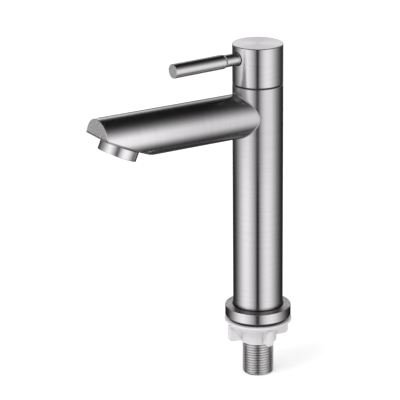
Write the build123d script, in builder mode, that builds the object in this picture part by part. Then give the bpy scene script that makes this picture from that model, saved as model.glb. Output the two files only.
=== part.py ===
from build123d import *
import math
import os

# Tall single-feed tap for a cloakroom basin, in millimetres, +Z up.
# The origin is on the column's axis at the basin's top face, where the deck gasket lies.
# The spout points along -Y, and so does the closed lever but for a few degrees.
# The valve opens as the lever turns towards +X.

# Clearances
press_clearance = 0.05
thread_clearance = 0.06
slide_clearance = 0.1
loose_clearance = 0.15

# Foot of the column
gasket_thickness = 2.2
gasket_diameter = 40.4
flange_diameter = 44.3
flange_height = 7.65
flange_fall = 0.45
flange_edge = 0.6
collar_step = 0.65
collar_height = 0.3

# Column and spout, both drawn from round tube
body_diameter = 33.5
body_wall = 1.5
parting_height = 164.6
seam_chamfer = 0.25
spout_diameter = 29.6
spout_wall = 1.2
spout_drop = 20.6
spout_reach = 120.0
spout_port_diameter = 18.0
plate_thickness = 1.2
end_edge = 0.25

# Slanted sole of the spout: it starts on a level chord of the end face and falls back to the column
chord_height = 2.5
sole_slope = 24.1
aerator_down_slope = 18.1

# Aerator, on a short threaded nipple of the sole plate
aerator_diameter = 25.9
aerator_projection = 6.9
aerator_gap = 0.3
aerator_edge = 0.4
aerator_wall = 1.2
nipple_wall = 1.54
outlet_lip = 1.0
outlet_lip_width = 1.1
aerator_gasket_thickness = 1.0
insert_flange = 1.1
insert_rise = 6.0
insert_wall = 1.0
insert_plate = 1.5
jet_count = 12
jet_diameter = 1.8
jet_circle = 12.0
screen_thickness = 0.4
screen_pitch = 1.7
screen_hole = 1.2
screen_rim = 0.8

# Handle
handle_height = 26.5
handle_lift = 0.1
handle_wall = 2.25
handle_top = 2.8
handle_edge = 0.35
core_above_valve = 3.0
lever_below_top = 8.1
closed_lever_angle = 3.8
neck_length = 9.95
neck_diameter = 8.15
neck_seat_depth = 1.0
grip_chamfer_length = 1.55
grip_diameter = 9.4
grip_length = 38.75
lever_edge = 0.4
lever_hole_gap = 0.6
lever_stud_diameter = 6.0
lever_stud_length = 6.9
stud_end_gap = 0.3
grub_above_core_end = 4.2
grub_diameter = 5.0
grub_recess = 2.3
grub_socket_width = 2.5
grub_socket_depth = 3.0
plug_sink = 0.2

# Ring in the seam between column and handle
slip_ring_thickness = 0.7
slip_ring_spigot = 2.6
slip_ring_wall = 1.5
slip_ring_inset = 0.3

# Threaded tail, a G 1/2 parallel pipe thread with 14 threads to the inch
thread_crest_diameter = 20.955
thread_pitch = 25.4 / 14
thread_depth = 1.162
thread_crest_width = 0.45
tail_drop = 39.5
tail_bore = 14.5
tail_chamfer = 0.8
tail_engagement = 14.5

# Plug in the column's foot and the water tube above it
plug_stem_wall = 3.46
bore_shoulder = 2.0
riser_diameter = 12.0
riser_wall = 1.0
riser_socket_depth = 5.3
seal_section = 1.8
seal_groove_height = 2.2
seal_groove_setback = 1.5

# Housing brazed into the column's head
housing_wall = 2.6
housing_floor = 4.0
housing_boss_wall = 1.9
housing_boss_height = 6.0
housing_port_diameter = 14.0
housing_top_gap = 0.3

# Screwed-in ceramic valve
hex_gap = 1.0
hex_height = 5.0
valve_neck_wall = 3.0
valve_neck_height = 2.5
valve_thread_length = 7.7
undercut_depth = 0.38
cage_relief = 0.12
cage_wall = 1.5
cage_length = 18.5
cage_seat_gap = 0.5
seat_seal_height = 1.5
seat_seal_width = 1.95
disc_thickness = 3.2
disc_port_diameter = 4.6
disc_port_offset = 4.6
disc_slot_depth = 1.1
key_width = 1.8
key_depth = 0.9
foot_width = 4.0
foot_height = 7.9
spindle_washer_thickness = 0.8
stem_diameter = 8.9
stem_seal_section = 1.4
stem_seal_rise = 3.9
stem_seal_spacing = 4.0
stem_above_valve = 2.5
clip_thickness = 1.0
clip_reach = 1.55
clip_groove_depth = 0.9
spline_length = 9.0
spline_step = 0.45
spline_depth = 0.3
spline_teeth = 20
spline_socket_gap = 0.5
window_width = 6.0
window_height = 5.5
window_angle = 45.0
stop_depth = 1.2
stop_margin_angle = 1.0
handle_turn_angle = 90.0

# Washer and winged nut below the basin
washer_diameter = 45.4
washer_height = 1.6
washer_play = 0.52
nut_disc_diameter = 41.6
nut_disc_height = 2.3
hub_wall = 2.0
hub_drop = 12.4
wing_drop = 11.0
wing_radius = 21.8
wing_thickness = 3.8
wing_corner = 3.0
wing_root = 1.0
wing_count = 4
wing_azimuth = -8.6

# Radii that several pieces share
body_radius = body_diameter / 2
tube_bore_radius = body_radius - body_wall
plug_radius = tube_bore_radius - press_clearance
spout_radius = spout_diameter / 2
thread_radius = thread_crest_diameter / 2
thread_hole_radius = thread_radius + thread_clearance
stem_wall_radius = thread_hole_radius + plug_stem_wall
washer_bore_radius = thread_radius + washer_play
water_radius = riser_diameter / 2 - riser_wall
riser_socket = riser_diameter / 2 + press_clearance
seal_groove_radius = riser_socket + seal_section + press_clearance
cap_bore_radius = body_radius - handle_wall
core_radius = cap_bore_radius - slide_clearance
cage_radius = thread_radius - thread_depth - cage_relief
cage_bore_radius = cage_radius - cage_wall
disc_radius = cage_bore_radius - loose_clearance
stop_bore_radius = cage_bore_radius - stop_depth
stem_radius = stem_diameter / 2
stem_bore_radius = stem_radius + press_clearance
spline_radius = stem_radius - spline_step
slip_ring_bore_radius = plug_radius - slip_ring_wall
hex_corner_radius = slip_ring_bore_radius - hex_gap
undercut_radius = thread_radius - undercut_depth
collar_bore_radius = aerator_diameter / 2 - aerator_wall
nipple_radius = collar_bore_radius - thread_clearance
nipple_bore_radius = nipple_radius - nipple_wall
outlet_radius = collar_bore_radius - outlet_lip_width

# Levels that several pieces share, from the basin's top face
flange_top = gasket_thickness + flange_height
tube_bottom = flange_top + collar_height
tube_top = parting_height - slip_ring_thickness
spout_axis_height = parting_height - spout_drop
cap_bottom = parting_height + handle_lift
cap_top = parting_height + handle_height
cap_ceiling = cap_top - handle_top
lever_axis_height = cap_top - lever_below_top
tail_top = gasket_thickness + tail_engagement
riser_bottom = tail_top + slide_clearance + bore_shoulder
housing_top = tube_top - slip_ring_spigot - housing_top_gap
thread_bottom = housing_top - seal_section - valve_thread_length
cage_bottom = thread_bottom - cage_length
seat_height = cage_bottom - cage_seat_gap
riser_top = seat_height - housing_floor
fixed_disc_bottom = seat_height + seat_seal_height
moving_disc_bottom = fixed_disc_bottom + disc_thickness
moving_disc_top = moving_disc_bottom + disc_thickness
foot_bottom = moving_disc_top - disc_slot_depth + slide_clearance
foot_top = foot_bottom + foot_height
cage_ceiling = foot_top + spindle_washer_thickness
valve_top = housing_top + hex_height + valve_neck_height
clip_bottom = valve_top + slide_clearance
core_bottom = valve_top + core_above_valve
grub_axis_height = core_bottom + grub_above_core_end
spline_bottom = valve_top + stem_above_valve
spline_top = spline_bottom + spline_length
nut_disc_bottom = -washer_height - nut_disc_height

# Distances from the column's axis along the lever
neck_inner_end = core_radius - neck_seat_depth
lever_stud_end = neck_inner_end - lever_stud_length
chamfer_start = body_radius + neck_length
grip_start = chamfer_start + grip_chamfer_length
lever_reach = grip_start + grip_length

# Distances from the spout's sole along the aerator's axis
lip_start = aerator_projection - outlet_lip
flange_start = lip_start - insert_flange
nipple_length = flange_start - aerator_gasket_thickness

# Planes of the spout's slanted sole. Their normals point out of the spout, down and forwards.
slope = math.radians(sole_slope)
chord_point = Vector(0, -spout_reach, spout_axis_height + chord_height)
down_slope = Vector(0, math.cos(slope), -math.sin(slope))
sole_normal = Vector(0, -math.sin(slope), -math.cos(slope))
sole_plane = Plane(origin=chord_point, x_dir=(1, 0, 0), z_dir=sole_normal)
sole_inner_plane = sole_plane.offset(-plate_thickness)
aerator_centre = chord_point + down_slope * aerator_down_slope
aerator_plane = Plane(origin=aerator_centre, x_dir=(1, 0, 0), z_dir=sole_normal)

# Planes across the column's axis, facing the spout, the lever and the grub screw
lever_direction = Vector(0, -1, 0).rotate(Axis.Z, closed_lever_angle)
lever_across = Vector(1, 0, 0).rotate(Axis.Z, closed_lever_angle)
spout_root_plane = Plane(origin=(0, 0, spout_axis_height), x_dir=(1, 0, 0), z_dir=(0, -1, 0))
lever_plane = Plane(origin=(0, 0, lever_axis_height), x_dir=lever_across, z_dir=lever_direction)
grub_plane = Plane(origin=(0, 0, grub_axis_height), x_dir=lever_across, z_dir=-lever_direction)


def ring(outer_radius, inner_radius, bottom, height):
    """Add a flat ring about the Z axis to the part being built."""
    with BuildSketch(Plane.XY.offset(bottom)) as annulus:
        Circle(outer_radius)
        Circle(inner_radius, mode=Mode.SUBTRACT)
    extrude(annulus.sketch, amount=height)


def turn(points):
    """Add a solid of revolution about the Z axis from its (radius, height) corners."""
    with BuildSketch(Plane.XZ) as profile:
        Polygon(*points, align=None)
    revolve(profile.sketch, axis=Axis.Z)


def o_ring(inner_radius, section, height):
    """Add a round-section ring about the Z axis, its bore at inner_radius, its middle at height."""
    with BuildSketch(Plane.XZ) as section_circle:
        with Locations((inner_radius + section / 2, height)):
            Circle(section / 2)
    revolve(section_circle.sketch, axis=Axis.Z)


def bore(plane, radius, depth):
    """Cut a round hole into the part being built, from a plane along its normal."""
    with BuildSketch(plane) as hole:
        Circle(radius)
    extrude(hole.sketch, amount=depth, mode=Mode.SUBTRACT)


def stem_groove(middle, width, floor_radius):
    """Cut a ring groove into the spindle's stem, about a height."""
    with BuildSketch(Plane.XY.offset(middle - width / 2)) as groove:
        Circle(stem_radius)
        Circle(floor_radius, mode=Mode.SUBTRACT)
    extrude(groove.sketch, amount=width, mode=Mode.SUBTRACT)


def spline_outline(growth):
    """Draw the toothed outline of the spindle's head, grown by a clearance for its socket."""
    root_radius = spline_radius - spline_depth
    tooth_width = math.pi * root_radius / spline_teeth
    Circle(root_radius + growth)
    with PolarLocations(root_radius, spline_teeth):
        Rectangle(2 * (spline_depth + growth), tooth_width + 2 * growth)


def key_outline(growth, mode):
    """Draw the two keys of the valve's cage, grown by a clearance for the slots that take them."""
    with PolarLocations(cage_bore_radius, 2, start_angle=90):
        Rectangle(2 * (key_depth + growth), key_width + 2 * growth, mode=mode)


def thread_grooves(bottom, top):
    """Cut V-shaped grooves, one pitch apart, from the profile being drawn, between two heights."""
    groove_width = thread_pitch - thread_crest_width
    for index in range(int((top - bottom) / thread_pitch)):
        middle = bottom + (index + 0.5) * thread_pitch
        Polygon(
            (thread_radius, middle - groove_width / 2),
            (thread_radius - thread_depth, middle),
            (thread_radius, middle + groove_width / 2),
            align=None,
            mode=Mode.SUBTRACT,
        )


os.makedirs("parts", exist_ok=True)

# Foot flange: a loose ring held down by the plug's collar. Its top falls a little towards its rim.
with BuildPart() as base_flange:
    turn([
        (stem_wall_radius + loose_clearance, gasket_thickness),
        (flange_diameter / 2, gasket_thickness),
        (flange_diameter / 2, flange_top - flange_fall),
        (body_radius + collar_step, flange_top),
        (stem_wall_radius + loose_clearance, flange_top),
    ])
    rims = base_flange.edges().filter_by(GeomType.CIRCLE)
    chamfer(rims.sort_by(SortBy.RADIUS)[-2:], flange_edge)
base_flange.part.label = "base_flange"
export_step(base_flange.part, "parts/base_flange.step")

with BuildPart() as deck_gasket:
    ring(gasket_diameter / 2, washer_bore_radius, 0, gasket_thickness)
deck_gasket.part.label = "deck_gasket"
export_step(deck_gasket.part, "parts/deck_gasket.step")

# Plug welded into the column's foot. It takes the tail from below and the riser tube from above.
plug_top = riser_bottom + riser_socket_depth
plug_seal_bottom = riser_bottom + seal_groove_setback
plug_seal_top = plug_seal_bottom + seal_groove_height
with BuildPart() as base_plug:
    turn([
        (thread_hole_radius, gasket_thickness),
        (stem_wall_radius, gasket_thickness),
        (stem_wall_radius, flange_top),
        (body_radius + collar_step, flange_top),
        (body_radius + collar_step, tube_bottom),
        (plug_radius, tube_bottom),
        (plug_radius, plug_top),
        (riser_socket, plug_top),
        (riser_socket, plug_seal_top),
        (seal_groove_radius, plug_seal_top),
        (seal_groove_radius, plug_seal_bottom),
        (riser_socket, plug_seal_bottom),
        (riser_socket, riser_bottom),
        (water_radius, riser_bottom),
        (water_radius, riser_bottom - bore_shoulder),
        (thread_hole_radius, riser_bottom - bore_shoulder),
    ])
base_plug.part.label = "base_plug"
export_step(base_plug.part, "parts/base_plug.step")

# Hollow tail with the pipe thread as ring grooves at the true pitch and depth
with BuildPart() as threaded_shank:
    with BuildSketch(Plane.XZ):
        Polygon(
            (tail_bore / 2, -tail_drop),
            (thread_radius - tail_chamfer, -tail_drop),
            (thread_radius, -tail_drop + tail_chamfer),
            (thread_radius, tail_top - tail_chamfer),
            (thread_radius - tail_chamfer, tail_top),
            (tail_bore / 2, tail_top),
            align=None,
        )
        thread_grooves(-tail_drop + tail_chamfer, tail_top - tail_chamfer)
    revolve(axis=Axis.Z)
threaded_shank.part.label = "threaded_shank"
export_step(threaded_shank.part, "parts/threaded_shank.step")

with BuildPart() as riser_tube:
    ring(riser_diameter / 2, water_radius, riser_bottom, riser_top - riser_bottom)
riser_tube.part.label = "riser_tube"
export_step(riser_tube.part, "parts/riser_tube.step")

# Column tube with a water port towards the spout
with BuildPart() as body_tube:
    ring(body_radius, tube_bore_radius, tube_bottom, tube_top - tube_bottom)
    top_rims = body_tube.edges().group_by(Axis.Z)[-1]
    chamfer(top_rims.sort_by(SortBy.RADIUS)[-1], seam_chamfer)
    bore(spout_root_plane, spout_port_diameter / 2, body_diameter)
body_tube.part.label = "body_tube"
export_step(body_tube.part, "parts/body_tube.step")

# Spout tube, coped to the column at one end and cut square and slanted at the other
with BuildPart() as spout_tube:
    with BuildSketch(spout_root_plane):
        Circle(spout_radius)
        Circle(spout_radius - spout_wall, mode=Mode.SUBTRACT)
    extrude(amount=spout_reach - plate_thickness)
    bore(Plane.XY.offset(spout_axis_height - spout_diameter), body_radius + press_clearance,
         2 * spout_diameter)
    split(bisect_by=sole_inner_plane, keep=Keep.BOTTOM)
spout_tube.part.label = "spout_tube"
export_step(spout_tube.part, "parts/spout_tube.step")

# Upright plate that closes the tip, with its round rim softened
with BuildPart() as spout_end_plate:
    with BuildSketch(spout_root_plane.offset(spout_reach - plate_thickness)):
        Circle(spout_radius)
    extrude(amount=plate_thickness)
    chamfer(spout_end_plate.edges().group_by(Axis.Y)[0], end_edge)
    split(bisect_by=sole_inner_plane, keep=Keep.BOTTOM)
spout_end_plate.part.label = "spout_end_plate"
export_step(spout_end_plate.part, "parts/spout_end_plate.step")

# Sole plate: the slice of the round spout between the two slanted planes, with its nipple
with BuildPart() as spout_sole_plate:
    with BuildSketch(spout_root_plane):
        Circle(spout_radius)
    extrude(amount=spout_reach)
    split(bisect_by=sole_plane, keep=Keep.BOTTOM)
    split(bisect_by=sole_inner_plane, keep=Keep.TOP)
    with BuildSketch(aerator_plane):
        Circle(nipple_radius)
    extrude(amount=nipple_length)
    bore(aerator_plane.offset(-2 * plate_thickness), nipple_bore_radius,
         2 * plate_thickness + nipple_length)
spout_sole_plate.part.label = "spout_sole_plate"
export_step(spout_sole_plate.part, "parts/spout_sole_plate.step")

# Aerator collar, screwed over the nipple
collar_plane = aerator_plane.offset(aerator_gap)
with BuildPart() as aerator_housing:
    with BuildSketch(collar_plane):
        Circle(aerator_diameter / 2)
    extrude(amount=aerator_projection - aerator_gap)
    chamfer(aerator_housing.edges().filter_by(GeomType.CIRCLE), aerator_edge)
    bore(collar_plane, collar_bore_radius, lip_start - aerator_gap)
    bore(collar_plane, outlet_radius, aerator_projection)
aerator_housing.part.label = "aerator_housing"
export_step(aerator_housing.part, "parts/aerator_housing.step")

with BuildPart() as aerator_gasket:
    with BuildSketch(aerator_plane.offset(nipple_length)):
        Circle(collar_bore_radius - slide_clearance)
        Circle(nipple_bore_radius, mode=Mode.SUBTRACT)
    extrude(amount=aerator_gasket_thickness)
aerator_gasket.part.label = "aerator_gasket"
export_step(aerator_gasket.part, "parts/aerator_gasket.step")

# Plastic core: a cup inside the nipple with a jet plate on top and a flange that rests on the lip
insert_radius = nipple_bore_radius - slide_clearance
with BuildPart() as aerator_insert:
    with BuildSketch(aerator_plane.offset(-insert_rise)):
        Circle(insert_radius)
    extrude(amount=insert_rise + flange_start)
    with BuildSketch(aerator_plane.offset(flange_start)):
        Circle(collar_bore_radius - slide_clearance)
    extrude(amount=insert_flange)
    bore(aerator_plane.offset(insert_plate - insert_rise), insert_radius - insert_wall,
         insert_rise + aerator_projection)
    with BuildSketch(aerator_plane.offset(-insert_rise)):
        with PolarLocations(jet_circle / 2, jet_count):
            Circle(jet_diameter / 2)
    extrude(amount=insert_plate, mode=Mode.SUBTRACT)
aerator_insert.part.label = "aerator_insert"
export_step(aerator_insert.part, "parts/aerator_insert.step")

# Outlet screen: a thin disc with square holes inside a solid rim, against the core's open end
screen_radius = outlet_radius - slide_clearance
open_radius = screen_radius - screen_rim
holes_across = int(2 * open_radius / screen_pitch)
hole_corner = screen_hole / math.sqrt(2)
hole_grid = GridLocations(screen_pitch, screen_pitch, holes_across, holes_across)
whole_holes = [place for place in hole_grid.locations
               if place.position.length + hole_corner < open_radius]
with BuildPart() as aerator_screen:
    with BuildSketch(aerator_plane.offset(lip_start)):
        Circle(screen_radius)
        with Locations(*whole_holes):
            Rectangle(screen_hole, screen_hole, mode=Mode.SUBTRACT)
    extrude(amount=screen_thickness)
aerator_screen.part.label = "aerator_screen"
export_step(aerator_screen.part, "parts/aerator_screen.step")

# Slip ring: its flange fills the seam, its spigot drops into the tube
with BuildPart() as slip_ring:
    turn([
        (slip_ring_bore_radius, tube_top - slip_ring_spigot),
        (plug_radius, tube_top - slip_ring_spigot),
        (plug_radius, tube_top),
        (body_radius - slip_ring_inset, tube_top),
        (body_radius - slip_ring_inset, parting_height),
        (slip_ring_bore_radius, parting_height),
    ])
slip_ring.part.label = "slip_ring"
export_step(slip_ring.part, "parts/slip_ring.step")

# Housing cup in the column's head: riser socket below, chamber, then the valve's thread
chamber_radius = plug_radius - housing_wall
recess_radius = undercut_radius + seal_section + 2 * press_clearance
boss_radius = seal_groove_radius + housing_boss_wall
boss_bottom = riser_top - housing_boss_height
housing_seal_top = riser_top - seal_groove_setback
housing_seal_bottom = housing_seal_top - seal_groove_height
with BuildPart() as valve_housing:
    turn([
        (water_radius, seat_height),
        (chamber_radius, seat_height),
        (chamber_radius, thread_bottom),
        (thread_hole_radius, thread_bottom),
        (thread_hole_radius, housing_top - seal_section),
        (recess_radius, housing_top - seal_section),
        (recess_radius, housing_top),
        (plug_radius, housing_top),
        (plug_radius, riser_top),
        (boss_radius, riser_top),
        (boss_radius, boss_bottom),
        (riser_socket, boss_bottom),
        (riser_socket, housing_seal_bottom),
        (seal_groove_radius, housing_seal_bottom),
        (seal_groove_radius, housing_seal_top),
        (riser_socket, housing_seal_top),
        (riser_socket, riser_top),
        (water_radius, riser_top),
    ])
    bore(spout_root_plane, housing_port_diameter / 2, body_diameter)
valve_housing.part.label = "valve_housing"
export_step(valve_housing.part, "parts/valve_housing.step")

with BuildPart() as riser_seals:
    for groove_bottom in (plug_seal_bottom, housing_seal_bottom):
        o_ring(riser_socket, seal_section, groove_bottom + seal_groove_height / 2)
riser_seals.part.label = "riser_seals"
export_step(riser_seals.part, "parts/riser_seals.step")

# Valve body: cage for the discs, thread, hexagon and a neck that guides the spindle
stop_bottom = moving_disc_top + slide_clearance
stop_half_gap = math.degrees(math.asin(foot_width / 2 / stop_bore_radius)) + stop_margin_angle
with BuildPart() as valve_body:
    turn([
        (cage_bore_radius, cage_bottom),
        (cage_radius, cage_bottom),
        (cage_radius, thread_bottom),
        (thread_radius, thread_bottom),
        (thread_radius, housing_top - seal_section),
        (undercut_radius, housing_top - seal_section),
        (undercut_radius, housing_top),
        (stem_bore_radius + valve_neck_wall, housing_top),
        (stem_bore_radius + valve_neck_wall, valve_top),
        (stem_bore_radius, valve_top),
        (stem_bore_radius, cage_ceiling),
        (cage_bore_radius, cage_ceiling),
    ])
    with BuildSketch(Plane.XY.offset(housing_top)):
        RegularPolygon(hex_corner_radius, 6)
        Circle(stem_bore_radius, mode=Mode.SUBTRACT)
    extrude(amount=hex_height)
    # Two keys hold the fixed disc still
    with BuildSketch(Plane.XY.offset(cage_bottom)):
        key_outline(0, Mode.ADD)
    extrude(amount=moving_disc_bottom - slide_clearance - cage_bottom)
    # Two stops for the spindle's foot leave it the handle's turn
    for half_turn in (0, 180):
        stop_start = half_turn + handle_turn_angle + stop_half_gap
        stop_end = half_turn + 180 - stop_half_gap
        with BuildSketch(Plane.XY.offset(stop_bottom)):
            Circle((cage_bore_radius + cage_radius) / 2)
            Circle(stop_bore_radius, mode=Mode.SUBTRACT)
            Polygon(
                (0, 0),
                Vector(2 * cage_radius, 0).rotate(Axis.Z, stop_start),
                Vector(2 * cage_radius, 0).rotate(Axis.Z, stop_end),
                align=None,
                mode=Mode.INTERSECT,
            )
        extrude(amount=foot_top - slide_clearance - stop_bottom)
    # Two windows let the water out of the cage
    with BuildSketch(Plane.XY.rotated((0, 0, window_angle)).offset(stop_bottom)):
        Rectangle(4 * cage_radius, window_width)
        Rectangle(2 * stop_bore_radius, window_width, mode=Mode.SUBTRACT)
    extrude(amount=window_height, mode=Mode.SUBTRACT)
valve_body.part.label = "valve_body"
export_step(valve_body.part, "parts/valve_body.step")

with BuildPart() as valve_o_ring:
    o_ring(undercut_radius + press_clearance, seal_section - press_clearance,
           housing_top - seal_section / 2)
valve_o_ring.part.label = "valve_o_ring"
export_step(valve_o_ring.part, "parts/valve_o_ring.step")

# Rubber ring on the seat and the fixed disc above it, both slotted for the cage's keys
with BuildPart() as seat_seal:
    with BuildSketch(Plane.XY.offset(seat_height)):
        Circle(disc_radius)
        Circle(disc_radius - seat_seal_width, mode=Mode.SUBTRACT)
        key_outline(slide_clearance, Mode.SUBTRACT)
    extrude(amount=seat_seal_height)
seat_seal.part.label = "seat_seal"
export_step(seat_seal.part, "parts/seat_seal.step")

with BuildPart() as fixed_disc:
    with BuildSketch(Plane.XY.offset(fixed_disc_bottom)):
        Circle(disc_radius)
        with PolarLocations(disc_port_offset, 2):
            Circle(disc_port_diameter / 2, mode=Mode.SUBTRACT)
        key_outline(slide_clearance, Mode.SUBTRACT)
    extrude(amount=disc_thickness)
fixed_disc.part.label = "fixed_disc"
export_step(fixed_disc.part, "parts/fixed_disc.step")

# Moving disc: its holes lie across the fixed disc's holes while the valve is shut
with BuildPart() as moving_disc:
    with BuildSketch(Plane.XY.offset(moving_disc_bottom)):
        Circle(disc_radius)
        with PolarLocations(disc_port_offset, 2, start_angle=handle_turn_angle):
            Circle(disc_port_diameter / 2, mode=Mode.SUBTRACT)
    extrude(amount=disc_thickness)
    with BuildSketch(Plane.XY.offset(moving_disc_top - disc_slot_depth)):
        Rectangle(4 * disc_radius, foot_width + 2 * slide_clearance)
    extrude(amount=disc_slot_depth, mode=Mode.SUBTRACT)
moving_disc.part.label = "moving_disc"
export_step(moving_disc.part, "parts/moving_disc.step")

# Spindle: a flat foot in the moving disc's slot, a sealed stem and a splined head
stem_groove_radius = stem_radius - stem_seal_section + press_clearance
clip_groove_radius = stem_radius - clip_groove_depth
first_seal_height = cage_ceiling + stem_seal_rise
stem_seal_heights = [first_seal_height, first_seal_height + stem_seal_spacing]
with BuildPart() as valve_spindle:
    with BuildSketch(Plane.XY.offset(foot_bottom)):
        Circle(cage_bore_radius - slide_clearance)
        Rectangle(4 * cage_bore_radius, foot_width, mode=Mode.INTERSECT)
    extrude(amount=foot_height)
    with BuildSketch(Plane.XY.offset(foot_top)):
        Circle(stem_radius)
    extrude(amount=spline_bottom - foot_top)
    for seal_height in stem_seal_heights:
        stem_groove(seal_height, stem_seal_section + 2 * press_clearance, stem_groove_radius)
    stem_groove(clip_bottom + clip_thickness / 2, clip_thickness + 2 * press_clearance,
                clip_groove_radius)
    with BuildSketch(Plane.XY.offset(spline_bottom)):
        spline_outline(0)
    extrude(amount=spline_length)
valve_spindle.part.label = "valve_spindle"
export_step(valve_spindle.part, "parts/valve_spindle.step")

with BuildPart() as spindle_o_rings:
    for seal_height in stem_seal_heights:
        o_ring(stem_groove_radius + press_clearance, stem_seal_section - press_clearance, seal_height)
spindle_o_rings.part.label = "spindle_o_rings"
export_step(spindle_o_rings.part, "parts/spindle_o_rings.step")

# Open circlip in the stem's top groove
with BuildPart() as spindle_clip:
    with BuildSketch(Plane.XY.offset(clip_bottom)):
        Circle(stem_radius + clip_reach)
        Circle(clip_groove_radius + press_clearance, mode=Mode.SUBTRACT)
        with Locations((0, stem_radius + clip_reach)):
            Rectangle(2 * clip_groove_radius, 2 * (stem_radius + clip_reach), mode=Mode.SUBTRACT)
    extrude(amount=clip_thickness)
spindle_clip.part.label = "spindle_clip"
export_step(spindle_clip.part, "parts/spindle_clip.step")

with BuildPart() as spindle_washer:
    ring(disc_radius, stem_bore_radius, foot_top, spindle_washer_thickness - slide_clearance)
spindle_washer.part.label = "spindle_washer"
export_step(spindle_washer.part, "parts/spindle_washer.step")

# Handle cap: a turned cup, open below, with a hole for the lever and one for the grub screw
with BuildPart() as handle_cap:
    with BuildSketch(Plane.XY.offset(cap_bottom)):
        Circle(body_radius)
    extrude(amount=cap_top - cap_bottom)
    chamfer(handle_cap.edges().group_by(Axis.Z)[-1], handle_edge)
    chamfer(handle_cap.edges().group_by(Axis.Z)[0], seam_chamfer)
    bore(Plane.XY.offset(cap_bottom), cap_bore_radius, cap_ceiling - cap_bottom)
    bore(lever_plane, neck_diameter / 2 + lever_hole_gap, body_diameter)
    bore(grub_plane, grub_diameter / 2 + thread_clearance, body_diameter)
handle_cap.part.label = "handle_cap"
export_step(handle_cap.part, "parts/handle_cap.step")

# Core block inside the cap: splined socket below, lever thread in front, grub screw behind
with BuildPart() as handle_core:
    with BuildSketch(Plane.XY.offset(core_bottom)):
        Circle(core_radius)
    extrude(amount=cap_ceiling - core_bottom)
    with BuildSketch(Plane.XY.offset(core_bottom)):
        spline_outline(thread_clearance)
    extrude(amount=spline_top + spline_socket_gap - core_bottom, mode=Mode.SUBTRACT)
    bore(lever_plane.offset(neck_inner_end), neck_diameter / 2 + lever_hole_gap, core_radius)
    bore(lever_plane.offset(lever_stud_end - stud_end_gap),
         lever_stud_diameter / 2 + thread_clearance, core_radius)
    bore(grub_plane, grub_diameter / 2 + thread_clearance, body_radius)
handle_core.part.label = "handle_core"
export_step(handle_core.part, "parts/handle_core.step")

# Lever: threaded stud, neck, chamfered step and grip, turned from one bar
lever_axis = Axis((0, 0, lever_axis_height), lever_direction)
lever_profile_plane = Plane(origin=(0, 0, lever_axis_height), x_dir=lever_direction, z_dir=lever_across)
with BuildPart() as lever_rod:
    with BuildSketch(lever_profile_plane):
        Polygon(
            (lever_stud_end, 0),
            (lever_stud_end, lever_stud_diameter / 2),
            (neck_inner_end, lever_stud_diameter / 2),
            (neck_inner_end, neck_diameter / 2),
            (chamfer_start, neck_diameter / 2),
            (grip_start, grip_diameter / 2),
            (lever_reach - lever_edge, grip_diameter / 2),
            (lever_reach, grip_diameter / 2 - lever_edge),
            (lever_reach, 0),
            align=None,
        )
    revolve(axis=lever_axis)
lever_rod.part.label = "lever_rod"
export_step(lever_rod.part, "parts/lever_rod.step")

grub_start = spline_radius + slide_clearance
grub_length = core_radius - grub_recess - grub_start
with BuildPart() as grub_screw:
    with BuildSketch(grub_plane.offset(grub_start)):
        Circle(grub_diameter / 2)
    extrude(amount=grub_length)
    with BuildSketch(grub_plane.offset(grub_start + grub_length - grub_socket_depth)):
        RegularPolygon(grub_socket_width / 2, 6, major_radius=False)
    extrude(amount=grub_socket_depth, mode=Mode.SUBTRACT)
grub_screw.part.label = "grub_screw"
export_step(grub_screw.part, "parts/grub_screw.step")

with BuildPart() as index_plug:
    with BuildSketch(grub_plane.offset(core_radius)):
        Circle(grub_diameter / 2)
    extrude(amount=body_radius - plug_sink - core_radius)
index_plug.part.label = "index_plug"
export_step(index_plug.part, "parts/index_plug.step")

with BuildPart() as friction_washer:
    ring(washer_diameter / 2, washer_bore_radius, -washer_height, washer_height)
friction_washer.part.label = "friction_washer"
export_step(friction_washer.part, "parts/friction_washer.step")

# Back nut: flat disc, threaded hub and finger wings with rounded lower corners
hub_radius = thread_hole_radius + hub_wall
wing_bottom = nut_disc_bottom - wing_drop
with BuildPart() as back_nut:
    ring(nut_disc_diameter / 2, thread_hole_radius, nut_disc_bottom, nut_disc_height)
    ring(hub_radius, thread_hole_radius, nut_disc_bottom - hub_drop, hub_drop)
    for wing in range(wing_count):
        # The sketch's first axis points along the wing, and its second is the column's axis
        outwards = Vector(1, 0, 0).rotate(Axis.Z, wing_azimuth + wing * 360 / wing_count)
        wing_plane = Plane(origin=(0, 0, 0), x_dir=outwards, z_dir=outwards.cross(Vector(0, 0, 1)))
        with BuildSketch(wing_plane) as wing_profile:
            Polygon(
                (hub_radius - wing_root, wing_bottom),
                (wing_radius, wing_bottom),
                (wing_radius, nut_disc_bottom),
                (hub_radius - wing_root, nut_disc_bottom),
                align=None,
            )
            fillet(wing_profile.vertices().group_by(Axis.Y)[0].sort_by(Axis.X)[-1], wing_corner)
        extrude(amount=wing_thickness / 2, both=True)
back_nut.part.label = "back_nut"
export_step(back_nut.part, "parts/back_nut.step")
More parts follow.
